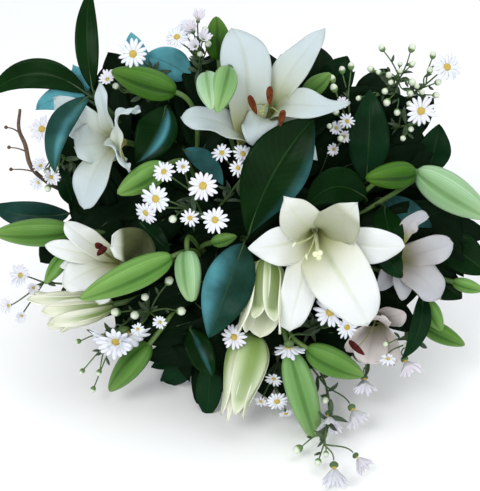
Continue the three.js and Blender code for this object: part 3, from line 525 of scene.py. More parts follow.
def stemRun(lane, form, fork):
    angle = math.radians(lane)
    across = Vector((math.cos(angle), math.sin(angle), 0))
    ring = form["ring"]
    leaving = across * ring + Vector((0, 0, tie["depth"] + form["exit"]))
    points = [
        across * (ring * 1.3) + Vector((0, 0, cutDepth)),
        across * (ring * 1.03) + Vector((0, 0, tie["depth"] - tie["width"])),
        leaving,
        leaving.lerp(fork, 0.2) + Vector((0, 0, 0.002)),
        leaving.lerp(fork, 0.6),
        fork,
    ]
    return points, [form["radius"]] * 4 + [form["radius"] * 0.92, form["radius"] * 0.85]


# Branches leave the last stretch of a stem one behind the other
def branchPoint(points, index, form):
    behind = branching["first"] + index * form["pitch"]
    return points[5].lerp(points[4], behind / branching["stretch"])


# Petals run from the heart of the bloom to the tip and leave the heart along the bloom's axis
# An outline is how late a petal is widest, how slim it runs out, and its foot's width
petalOutline = {
    "broad": (1.45, 0.56, 0.26), "slim": (1.3, 0.72, 0.26), "strip": (1.3, 0.46, 0.26),
    "point": (1.25, 0.9, 0.3), "wedge": (0.95, 0.85, 0.4), "wide": (1.2, 0.4, 0.35),
    "club": (1.8, 0.6, 0.6), "blunt": (1.2, 0.26, 0.3),
}


def petalHalf(shape, t, width):
    power, fullness, foot = petalOutline[shape]
    body = math.sin(math.pi * t ** power) ** fullness if 0 < t < 1 else 0.0
    return width / 2 * (foot * (1 - t) ** 1.3 + 0.95 * body)


def petalOn(shape, heart, axis, place, seed):
    rng = random.Random(seed)
    form = {
        "arch": 10, "rise": 0.42, "cup": 0.4, "roll": 0, "wave": 1.0, "tone": 0.0, "crease": 1.0,
        "curl": 0.6, **place,
    }
    to = spot(form["tip"])
    outward = to - heart
    outward = (outward - axis * outward.dot(axis)).normalized()
    broad = form["shape"] != "slim"
    root = heart + axis * (0.005 if broad else 0.0015) + outward * 0.003
    if "root" in form:
        root = spot(form["root"])
    reach = to - root
    first = root + axis * (reach.length * form["rise"]) + reach * 0.08
    if "lead" in form:
        first = spot(form["lead"])
    last = spot(form["via"]) if "via" in form else to - reach * 0.3 + axis * (form["arch"] * mm)
    route = cubic(root, first, last, to)
    turn = math.radians(form["roll"])
    phase = rng.uniform(0, 6.28)
    ripples = rng.uniform(4.0, 6.0)
    waveHeight = form["wave"] * (0.0019 if broad else 0.0011)

    def facing(t, tangent):
        toward = Vector(form["face"]) if "face" in form else axis - outward * (0.9 * (1 - t))
        return Matrix.Rotation(turn * min(1, 2 * t), 3, tangent) @ toward

    def raised(t, s, half):
        cup = half * form["cup"] * (1 - 1.15 * t) * s * s
        ripple = waveHeight * abs(s) ** 2.5 * math.sin(ripples * math.pi * t + phase + 1.3 * s)
        crease = -0.0011 * form["crease"] * math.exp(-(s / 0.14) ** 2) * (1 - 0.7 * t)
        curl = -half * form["curl"] * max(0, t - 0.6) * s * s
        return cup + ripple * min(1, 3 * t) + crease + curl

    made = bladeOn(shape, route, facing, lambda t: petalHalf(form["shape"], t, form["width"] * mm), raised,
                   form["tone"], (28, 14))
    layers = shape.verts.layers.float
    for vertex in made:
        t = vertex[layers["along"]]
        # line paints shade along a creased petal's midrib; the petal's tone, painted shade, fades out near
        # the tip, or just before the lip, which stays bright
        line = math.exp(-(vertex[layers["across"]] / 0.06) ** 2) * (form["crease"] - 1) * 0.3
        fade = max(0, (form["lip"] - t) * 5) if "lip" in form else 5 * (1 - t)
        vertex[layers["tone"]] = vertex[layers["tone"]] * min(1, fade) + line * (1 - 0.6 * t)


# Leaves: bow swings the middle sideways on the face, lift raises it and roll turns it
def leafHalf(t, width, full=0.85):
    if t <= 0 or t >= 1:
        return 0.0
    return width / 2 * math.sin(math.pi * t ** full) ** 0.85


def leafOn(shape, place, seed, steps=(22, 10)):
    rng = random.Random(seed)
    form = {
        "bow": 0, "lift": 6, "roll": 0, "fold": 0.16, "full": 0.85,
        "tone": rng.uniform(0.0, 0.02), "sheen": 0, "band": (0, 0.4), **place,
    }
    start = spot(form["base"])
    end = spot(form["tip"])
    across = (end - start).cross(towardsViewer).normalized()
    middle = start.lerp(end, 0.5) - across * (form["bow"] * mm)
    middle.z = start.lerp(end, 0.5).z + form["lift"] * mm
    route = quadratic(start, middle * 2 - (start + end) / 2, end)
    turn = math.radians(form["roll"])
    phase = rng.uniform(0, 6.28)
    rise = rng.uniform(0.0006, 0.0014)

    def raised(t, s, half):
        fold = half * form["fold"] * abs(s) ** 1.3
        ripple = rise * abs(s) ** 2 * math.sin(4.5 * math.pi * t + phase + (1.2 if s > 0 else 0))
        return fold + ripple - 0.0005 * math.exp(-(s / 0.08) ** 2)

    made = bladeOn(shape, route, lambda t, tangent: Matrix.Rotation(turn, 3, tangent) @ towardsViewer,
                   lambda t: leafHalf(t, form["width"] * mm, form["full"]), raised, form["tone"], steps)
    layers = shape.verts.layers.float
    # tone and sheen paint the sky's reflection into the leaf's colour: sheen adds a painted reflection streak
    # centred on the band, fading towards both ends of the leaf
    middle, spread = form["band"]
    for vertex in made:
        band = math.exp(-((vertex[layers["across"]] - middle) / spread) ** 2)
        band *= math.sin(math.pi * min(1, vertex[layers["along"]])) ** 0.8
        vertex[layers["tone"]] = min(1, form["tone"] + form["sheen"] * band)
    return route


print("helpers ready")


def petal(tip, width, shape="broad", **more):
    return {"tip": tip, "width": width, "shape": shape, **more}


def bud(base, tip, width, tone, **more):
    return {"base": base, "tip": tip, "width": width, "tone": tone, **more}


# Lily stems: each has its lane in the tie in degrees, the fork where it branches, and its buds
lilyStems = {
    "top": {
        "lane": 80, "fork": (250, 190, -92),
        "buds": [
            bud((207, 74, 18), (212, 110, 50), 20, 0.92, turn=20, swell=0.14),
            bud((228, 68, 18), (217, 113, 50), 21, 0.66, turn=40, swell=0.14),
            bud((219, 60, -40), (216, 16, -34), 24, 0.0, turn=30),
            bud((304, 94, -46), (331, 73, -36), 18, 0.3),
        ],
    },
    "left": {
        "lane": 139, "fork": (196, 178, -90),
        "buds": [
            bud((177, 92, -8), (111, 71, -16), 28, 0.1, turn=60),
            bud((166, 165, -4), (117, 194, 0), 25, 0.35, turn=60),
        ],
    },
    "low_left": {
        "lane": 196, "fork": (200, 258, -90),
        "buds": [
            bud((173, 256, 6), (79, 299, 8), 28, 0.4, bend=6, turn=60),
            bud((187, 251, 4), (192, 302, 8), 24, 0.78, full=0.44),
            bud((212, 242, -36), (237, 236, -26), 13, 0.5),
            bud((73, 230, -52), (-7, 233, -60), 27, 0.28, turn=60),
            bud((150, 343, -50), (109, 391, -72), 25, 0.22),
            bud((68, 252, -56), (45, 284, -56), 15, 0.5),
        ],
    },
    "centre": {
        "lane": 285, "fork": (268, 268, -90),
        "buds": [
            bud((290, 352, -14), (316, 439, -58), 28, 0.64, turn=20, full=0.46),
            bud((306, 348, -16), (364, 376, -28), 27, 0.28),
        ],
    },
    "right": {
        "lane": 352, "fork": (318, 246, -92),
        "buds": [
            bud((415, 172, -22), (365, 178, -8), 25, 0.0, turn=60),
            bud((416, 170, -26), (491, 218, -36), 34, 0.82),
            bud((424, 299, -52), (442, 331, -52), 18, 0.3),
            bud((420, 322, -62), (465, 345, -66), 19, 0.2),
            bud((452, 281, -76), (484, 290, -78), 14, 0.5),
        ],
    },
}

# Open lilies: an anther is given by its two ends, and a bare lily has lost its pollen
lilyBlooms = {
    "top": {
        "stem": "top", "heart": (268, 120, -28), "axis": (0.02, 0.5, 0.86), "pistil": (262, 112, 30),
        "finish": "shadeDarkened",
        "anthers": [
            ((249, 95, 24), (257, 115, 28)), ((270, 86, 22), (270, 106, 26)),
            ((284, 110, 32), (280, 127, 36)),
        ],
        "petals": [
            petal((231, 28, -10), 39, "club", root=(249, 141, -22), lead=(246, 104, 8), via=(254, 52, 12),
                  cup=0.25, crease=2.6),
            petal((325, 28, -16), 26, "wedge"),
            petal((350, 103, 16), 27, "wedge", via=(314, 112, 22)),
            petal((181, 118, 6), 28, "strip", root=(256, 144, -26), lead=(238, 130, -4),
                  via=(208, 112, 12)),
            petal((259, 148, 4), 29, via=(253, 122, 20), rise=0.3, wave=2.8, cup=0.08),
            petal((317, 160, -10), 20, "slim", arch=12),
        ],
    },
    "left": {
        "stem": "left", "heart": (125, 142, -38), "axis": (-0.45, 0.0, 0.89), "pistil": (116, 146, -4),
        "finish": "shadeDarkened", "anthers": [],
        "petals": [
            petal((100, 83, 6), 12, "strip", cup=0.9),
            petal((54, 98, -22), 31, via=(72, 120, -10)),
            petal((140, 109, 14), 14, "strip", root=(127, 169, 6), lead=(116, 140, 24), via=(104, 103, 28),
                  face=(-0.9, 0.1, 0.42), wave=2, cup=0.1),
            petal((75, 146, -6), 34, "blunt", arch=3, cup=0.05, curl=0.1, tone=0.22),
            petal((84, 209, -6), 32, arch=16),
            petal((129, 172, 20), 22, "slim", via=(116, 150, 24), roll=75, wave=2.5),
        ],
    },
    "low_left": {
        "stem": "low_left", "heart": (128, 262, -48), "axis": (-0.6, 0.12, 0.79), "pollen": "darkAnther",
        "anthers": [((95, 245, -3), (104, 246, -2)), ((107, 247, 1), (97, 256, 3))],
        "petals": [
            petal((65, 222, -16), 20, "slim", arch=12, roll=45, cup=0.9),
            petal((45, 245, -26), 18, "slim", arch=12),
            petal((60, 266, -30), 14, "slim"),
            petal((64, 287, -16), 31, arch=12),
            petal((111, 247, 12), 32, "blunt", lead=(150, 252, -24), via=(132, 241, 2), tone=1.3, lip=0.97,
                  face=(-0.4, 0, -1), cup=-0.2, curl=0),
            petal((100, 304, -30), 26),
        ],
    },
    "centre": {
        "stem": "centre", "heart": (314, 226, -22), "axis": (0.02, -0.38, 0.92), "pistil": (318, 255, 38),
        "bare": True, "anthers": [((296, 242, 30), (292, 247, 31)), ((306, 254, 32), (307, 260, 32))],
        "petals": [
            petal((284, 197, 42), 34, "point", via=(297, 219, 54), tone=0.55),
            petal((357, 203, 38), 38, "point", via=(343, 226, 56), tone=0.85),
            petal((405, 246, 14), 31, arch=16),
            petal((368, 325, 12), 49, "wide", via=(352, 290, 40), cup=0.2, crease=1.6),
            petal((290, 331, -2), 30, "blunt", via=(293, 300, 16), cup=0.2, rise=0.3),
            petal((248, 248, 28), 34, "wedge", arch=14),
        ],
    },
    "right": {
        "stem": "right", "heart": (388, 258, -62), "axis": (0.45, 0.0, 0.89), "finish": "blush",
        "pollen": "darkAnther", "anthers": [((398, 270, -26), (402, 278, -24))],
        "petals": [
            petal((428, 216, -22), 15, "strip", root=(400, 244, -30), lead=(404, 228, -14),
                  via=(413, 217, -14), face=(0.1, -0.4, 0.9)),
            petal((453, 243, -32), 25, "strip", arch=12),
            petal((440, 298, -30), 31, "wide", arch=12),
            petal((402, 300, -24), 20, "slim"),
            petal((378, 290, -36), 18, "slim", arch=8),
            petal((396, 226, -38), 17, "slim", arch=8),
        ],
    },
    "right_second": {
        "stem": "right", "heart": (378, 308, -72), "axis": (-0.2, -0.6, 0.77), "finish": "rosy",
        "pollen": "darkAnther", "anthers": [((349, 340, -14), (365, 355, -12))],
        "petals": [
            petal((367, 363, -30), 30, arch=12),
            petal((395, 364, -44), 28, arch=12),
            petal((345, 348, -30), 26, "slim"),
            petal((404, 312, -30), 24, "slim", arch=8),
            petal((381, 316, -14), 22, arch=8),
            petal((352, 318, -34), 24, "slim", arch=8),
        ],
    },
}


# Lilies just opening: a petal's turn is 90 where it faces the viewer
def finger(turn, spread, reach, **more):
    return {"turn": turn, "spread": spread, "reach": reach, **more}


openings = {
    "low_left": {
        "stem": "low_left", "heart": (112, 304, -62), "tip": (32, 314, -52), "width": 31,
        "form": {"belly": 0.8, "mouth": 1.15, "curl": 0.12},
        "petals": [
            finger(300, 46, 0.8), finger(235, 46, 0.85), finger(12, 34, 0.93), finger(48, 30, 1.0, layer=1),
            finger(86, 30, 0.84), finger(122, 28, 0.77, layer=1), finger(165, 34, 0.66),
        ],
    },
    "under_centre": {
        "stem": "centre", "heart": (266, 262, -12), "tip": (262, 336, 8), "width": 31,
        "form": {"belly": 0.3, "mouth": 1.0, "curl": 0.1, "tone": 0.35},
        "petals": [
            finger(270, 62, 1.0, mouth=1.1), finger(325, 50, 0.95),
            finger(12, 46, 0.97, mouth=1.2, layer=1), finger(172, 42, 0.96, mouth=0.85, layer=1),
            finger(62, 40, 0.80, mouth=0.7, lip=0.35, tone=0.95),
            finger(118, 38, 0.83, mouth=0.75, lip=0.35, layer=0.5, tone=0.95),
        ],
    },
    "low_centre": {
        "stem": "centre", "heart": (254, 334, -24), "tip": (231, 421, -38), "width": 35,
        "form": {"belly": 0.3, "mouth": 0.55, "tone": 0.78},
        "petals": [
            finger(225, 52, 0.94), finger(292, 52, 0.94), finger(58, 24, 1.0, mouth=0.35, tone=0.2),
            finger(160, 44, 0.92, tone=0.8), finger(18, 42, 0.94, layer=1, tone=0.5, mouth=0.5),
            finger(98, 46, 0.87, layer=1.4, mouth=0.45),
        ],
    },
}
coreLength = 0.009
filamentGirth = [0.9, 0.85, 0.8, 0.75, 0.7, 0.65, 0.6, 0.55, 0.5]
pistilGirth = (1.3, 1.25, 1.2, 1.15, 1.1, 1.1, 1.15, 1.3, 1.6)
fullStamens = {"anther": 0.0060, "pistil": 1.0, "lobe": 0.0015, "finish": "throatGreen"}
bareStamens = {"anther": 0.0020, "pistil": 1.4, "lobe": 0.0026, "finish": "filament"}


def carriedBy(name, flowers):
    return {label: flower for label, flower in flowers.items() if flower["stem"] == name}


def lilyStalks(name, stem):
    green = newShape()
    buds = newShape()
    points, radii = stemRun(stem["lane"], lilyStem, spot(stem["fork"]))
    runs = [(points, radii)]
    flowers = [*carriedBy(name, lilyBlooms).values(), *carriedBy(name, openings).values()]
    for index, flower in enumerate(flowers):
        heart = spot(flower["heart"])
        axis = Vector(flower["axis"]) if "axis" in flower else spot(flower["tip"]) - heart
        start = branchPoint(points, index, lilyStem)
        runs.append(stalk(start, heart, axis.normalized(), **flowerStalk))
    for index, place in enumerate(stem["buds"], len(flowers)):
        base = spot(place["base"])
        tip = spot(place["tip"])
        middle = base.lerp(tip, 0.5) + towardsViewer * (place.get("bend", 4) * mm)
        route = quadratic(base, middle, tip)
        start = branchPoint(points, index, lilyStem)
        runs.append(stalk(start, pointOn(route, 0.05), tangentOn(route, 0.03), **budStalk))
        budOn(buds, route, place["width"] * mm, place["tone"], place.get("turn", 0),
              place.get("swell", 0.06), fullness=place.get("full", 0.62))
    tubes(green, runs, sides=4)
    node = f"lily_stem_{name}"
    finishPiece(f"lilyStem.{name}", green, "stem", node)
    finishPiece(f"lilyBuds.{name}", buds, "bud", node)


def lilyBloom(label, bloom):
    heart = spot(bloom["heart"])
    axis = Vector(bloom["axis"]).normalized()
    node = f"lily_bloom_{label}"
    petals = newShape()
    for index, place in enumerate(bloom["petals"]):
        petalOn(petals, heart, axis, place, f"{label}{index}")
    finishPiece(f"lilyPetals.{label}", petals, bloom.get("finish", "petal"), node,
                sheetWall["petal"])
    throat = newShape()
    core = [heart, heart + axis * coreLength * 0.6, heart + axis * coreLength]
    tubes(throat, [(core, [2.8, 3.2, 2.7])], sides=5)
    sizes = bareStamens if "bare" in bloom else fullStamens
    finishPiece(f"lilyHeart.{label}", throat, sizes["finish"], node)
    if bloom["anthers"] or "pistil" in bloom:
        lilyStamens(label, bloom, heart + axis * (coreLength * 0.9), axis, sizes)


def lilyStamens(label, bloom, foot, axis, sizes):
    node = f"lily_stamens_{label}"
    runs = []
    anthers = newShape()
    for pair in bloom["anthers"]:
        start, end = (spot(place) for place in pair)
        middle = start.lerp(end, 0.5)
        bend = foot + axis * ((middle - foot).length * 0.4)
        runs.append((quadratic(foot, bend, middle)[::4], filamentGirth))
        anther = quadratic(start, middle + axis * 0.0012, end)
        budOn(anthers, anther, sizes["anther"], 0.3, 0, 0.16, (18, 12))
    if "pistil" in bloom:
        end = spot(bloom["pistil"])
        bend = foot + axis * ((end - foot).length * 0.5)
        route = quadratic(foot, bend, end)
        runs.append((route[::4], [sizes["pistil"] * girth for girth in pistilGirth]))
    stamen = newShape()
    tubes(stamen, runs)
    if "pistil" in bloom:
        ahead = tangentOn(route, 1)
        flat = ahead.orthogonal().normalized()
        for k in range(3):
            lobe = Matrix.Rotation(math.tau * k / 3, 3, ahead) @ flat
            made = ball(stamen, 10, 7, sizes["lobe"])
            bmesh.ops.translate(stamen, vec=end + lobe * sizes["lobe"] * 0.9, verts=made)
    finishPiece(f"lilyFilaments.{label}", stamen, sizes["finish"], node)
    if bloom["anthers"]:
        finish = "filament" if "bare" in bloom else bloom.get("pollen", "anther")
        finishPiece(f"lilyAnthers.{label}", anthers, finish, node)
    else:
        anthers.free()


def openingLily(name, opening):
    node = f"lily_opening_{name}"
    heart = spot(opening["heart"])
    tip = spot(opening["tip"])
    width = opening["width"] * mm
    route = quadratic(heart, heart.lerp(tip, 0.5) + Vector((0, 0, 0.006)), tip)
    core = newShape()
    budOn(core, [pointOn(route, 0.55 * k / 8) for k in range(9)], width * 0.5, 0.4)
    finishPiece(f"openingCore.{name}", core, "bud", node)
    fingers = newShape()
    for place in opening["petals"]:
        wrappedOn(fingers, route, width, {**opening["form"], **place})
    finishPiece(f"openingPetals.{name}", fingers, "parting", node, sheetWall["finger"])


for name, stem in lilyStems.items():
    lilyStalks(name, stem)
    for label, bloom in carriedBy(name, lilyBlooms).items():
        lilyBloom(label, bloom)
for name, opening in openings.items():
    openingLily(name, opening)
print("lilies made")


# Leafy twigs, and the darker leaves further in that fill between the flowers, their colour darkened as
# painted shade
def leaf(base, tip, width, **more):
    return {"base": base, "tip": tip, "width": width, **more}

# A leaf's tone and sheen set how much painted sky reflection is blended into its colour
leafyTwigs = {
    "centre": {
        "lane": 0, "form": {**leafStem, "ring": 0.0, "radius": 3.9}, "fork": (240, 237, -70),
        "leaves": [
            leaf((248, 236, -8), (314, 118, 14), 54, bow=7, lift=8, full=1.15, tone=0, sheen=0.32,
                 band=(1, 0.2)),
            leaf((244, 243, -6), (209, 338, 12), 42, lift=12, tone=0.06, sheen=0.55, band=(0.75, 0.45)),
        ],
    },
    "top": {
        "lane": 121, "fork": (168, 98, -70),
        "leaves": [
            leaf((142, 80, -52), (131, 32, -40), 22, tone=0.9),
            leaf((190, 78, -58), (144, 56, -50), 30, bow=-3, tone=0.9),
            leaf((166, 106, -50), (136, 163, -36), 36, bow=4, tone=0, sheen=0.85, band=(-0.35, 0.15)),
            leaf((206, 116, -74), (196, 152, -64), 24, tone=0.9),
            leaf((184, 150, -46), (223, 185, -18), 18, bow=5, tone=0.3),
        ],
        "inner": [((214, 106, -88), (232, 46, -86), 40), ((136, 100, -80), (108, 52, -76), 36)],
    },
    "upper_left": {
        "lane": 136, "fork": (94, 94, -44),
        "leaves": [
            leaf((93, 90, -42), (91, -14, -44), 21, bow=4, tone=0),
            leaf((86, 93, -44), (-14, 98, -58), 27, bow=-19, tone=0.0),
            leaf((86, 99, -50), (36, 109, -58), 22, bow=-5, tone=0.9),
            leaf((89, 97, -14), (55, 173, 8), 21, bow=-10, lift=14, tone=0.1, sheen=0.4, band=(-0.4, 0.34)),
            leaf((88, 91, -54), (73, 65, -52), 15, tone=0.9),
        ],
        "inner": [
            ((112, 122, -78), (104, 66, -66), 28), ((120, 128, -80), (136, 84, -70), 28),
            ((98, 130, -80), (82, 82, -70), 26),
        ],
    },
    "left": {
        "lane": 194, "fork": (96, 216, -98),
        "leaves": [
            leaf((70, 213, -86), (-10, 204, -94), 26, bow=6, tone=0.1),
            leaf((74, 206, -84), (61, 166, -66), 17),
            leaf((140, 222, -58), (170, 252, -42), 20),
        ],
        "inner": [
            ((78, 228, -100), (40, 262, -92), 34), ((84, 196, -96), (64, 124, -84), 30),
            ((104, 196, -90), (90, 150, -80), 30),
        ],
    },
    "bottom": {
        "lane": 252, "fork": (216, 318, -86),
        "leaves": [
            leaf((190, 328, -52), (213, 378, -40), 24, tone=0, sheen=0.75, band=(-0.1, 0.09)),
            leaf((196, 348, -66), (151, 367, -82), 18),
            leaf((196, 352, -80), (161, 387, -122), 24),
            leaf((212, 350, -66), (207, 418, -80), 24, full=1.1),
        ],
        "inner": [
            ((216, 336, -92), (201, 414, -94), 32), ((254, 336, -94), (268, 398, -92), 34),
            ((282, 338, -94), (284, 396, -90), 30),
        ],
    },
    "low_right": {
        "lane": 342, "fork": (406, 284, -100),
        "leaves": [
            leaf((422, 291, -48), (402, 359, -18), 17, bow=6),
            leaf((424, 270, -96), (462, 298, -88), 30),
        ],
    },
    "right": {
        "lane": 14, "fork": (366, 206, -94),
        "leaves": [
            leaf((366, 198, -52), (306, 208, -18), 34, bow=-14, lift=10),
            leaf((382, 198, -68), (432, 227, -52), 22, tone=0.25),
            leaf((384, 205, -42), (401, 259, -12), 25, bow=-4, lift=12, tone=0),
            leaf((438, 236, -84), (489, 274, -76), 34),
            leaf((380, 248, -22), (401, 278, -10), 20),
        ],
        "inner": [((414, 196, -96), (466, 206, -88), 38), ((424, 222, -88), (490, 236, -80), 26)],
    },
    "top_right": {
        "lane": 54, "fork": (330, 130, -84),
        "leaves": [
            leaf((292, 100, -80), (281, 54, -66), 28),
            leaf((326, 96, -78), (347, 56, -62), 32),
            leaf((366, 182, -56), (370, 89, -40), 36, lift=10),
            leaf((428, 174, -76), (439, 124, -58), 30),
        ],
        "inner": [
            ((272, 110, -98), (262, 50, -90), 40), ((318, 104, -92), (320, 46, -88), 36),
            ((362, 116, -100), (388, 68, -106), 38), ((386, 134, -92), (434, 98, -84), 38),
        ],
    },
}
filler = {
    "outline": [
        (104, 66), (128, 42), (160, 40), (205, 36), (250, 45), (300, 48), (345, 62), (372, 78), (400, 82),
        (425, 98), (438, 125), (447, 160), (476, 215), (476, 280), (438, 298), (424, 332), (380, 352),
        (330, 372), (290, 384), (240, 388), (200, 402), (162, 380), (120, 362), (98, 330), (72, 306),
        (58, 262), (36, 218), (50, 170), (58, 132), (84, 100),
    ],
    "corner": (10, 24), "pitch": 26, "cells": 18, "jitter": 9, "seed": 11, "mmToColumn": 0.85,
    "depth": (-96, -60), "length": (62, 92), "width": (26, 40), "swing": 0.9, "roll": 28,
}


def within(outline, column, row):
    crossed = False
    for (c0, r0), (c1, r1) in zip(outline, outline[1:] + outline[:1]):
        if (r0 > row) != (r1 > row) and column < c0 + (c1 - c0) * (row - r0) / (r1 - r0):
            crossed = not crossed
    return crossed


# Inner leaves stand on a jittered grid inside the outline, each on the nearest leafy twig
innerLeaves = {
    name: [leaf(*place, lift=8) for place in twig.get("inner", [])] for name, twig in leafyTwigs.items()
}
rng = random.Random(filler["seed"])
jitter = filler["jitter"]
for k in range(filler["cells"] ** 2):
    down, along = divmod(k, filler["cells"])
    column = filler["corner"][0] + filler["pitch"] * along + rng.uniform(-jitter, jitter)
    row = filler["corner"][1] + filler["pitch"] * down + rng.uniform(-jitter, jitter)
    depth = rng.uniform(*filler["depth"])
    length = rng.uniform(*filler["length"])
    width = rng.uniform(*filler["width"])
    swing = rng.uniform(-filler["swing"], filler["swing"])
    roll = rng.uniform(-filler["roll"], filler["roll"])
    if not within(filler["outline"], column, row):
        continue
    out = Vector((column - face["columns"] / 2, row - face["rows"] / 2))
    angle = math.atan2(out.y, out.x) + swing
    reach = 0.35 * length
    scale = filler["mmToColumn"]
    tip = (column + reach * math.cos(angle) / scale, row + reach * math.sin(angle) / scale)
    if not within(filler["outline"], *tip):
        tip = (column, row)
    base = (tip[0] - length * math.cos(angle) / scale, tip[1] - length * math.sin(angle) / scale, depth - 8)
    nearest = min(leafyTwigs, key=lambda name: math.dist(leafyTwigs[name]["fork"][:2], base[:2]))
    innerLeaves[nearest].append(leaf(base, (*tip, depth), width, roll=roll, lift=9))

leafGirth = [1.5, 1.3, 1.1, 0.7, 0.3]
innerGirth = [1.1, 0.9, 0.8, 0.4]
for name, twig in leafyTwigs.items():
    node = f"leafy_twig_{name}"
    form = twig.get("form", leafStem)
    points, radii = stemRun(twig["lane"], form, spot(twig["fork"]))
    runs = [(points, radii)]
    blades = newShape()
    for index, place in enumerate(twig["leaves"]):
        route = leafOn(blades, place, f"{name}{index}")
        start = branchPoint(points, index, form)
        below = [point - towardsViewer * 0.0006 for point in route]
        runs.append(([start, start.lerp(below[0], 0.5), below[0], below[4], below[8]], leafGirth))
    finishPiece(f"leafBlades.{name}", blades, "leaf", node, sheetWall["leaf"])
    inner = newShape()
    for index, place in enumerate(innerLeaves[name]):
        route = leafOn(inner, place, f"inner{name}{index}", (10, 4))
        start = points[4].lerp(points[5], rng.uniform(0, 0.9))
        runs.append(([start, start.lerp(route[0], 0.6), route[0], route[12]], innerGirth))
    finishPiece(f"innerBlades.{name}", inner, "inner", node, sheetWall["leaf"])
    wood = newShape()
    tubes(wood, runs)
    finishPiece(f"leafStem.{name}", wood, "leafStalk", node)
print("leafy twigs made,", sum(len(found) for found in innerLeaves.values()), "inner leaves")


# Aster sprays: a head has its place, size, the way it looks and how far it is cupped
# A bud is column, row, depth and size
def arm(at, heads=(), buds=(), bend=(0, 0, 6)):
    return {"at": at, "heads": heads, "buds": buds, "bend": bend}


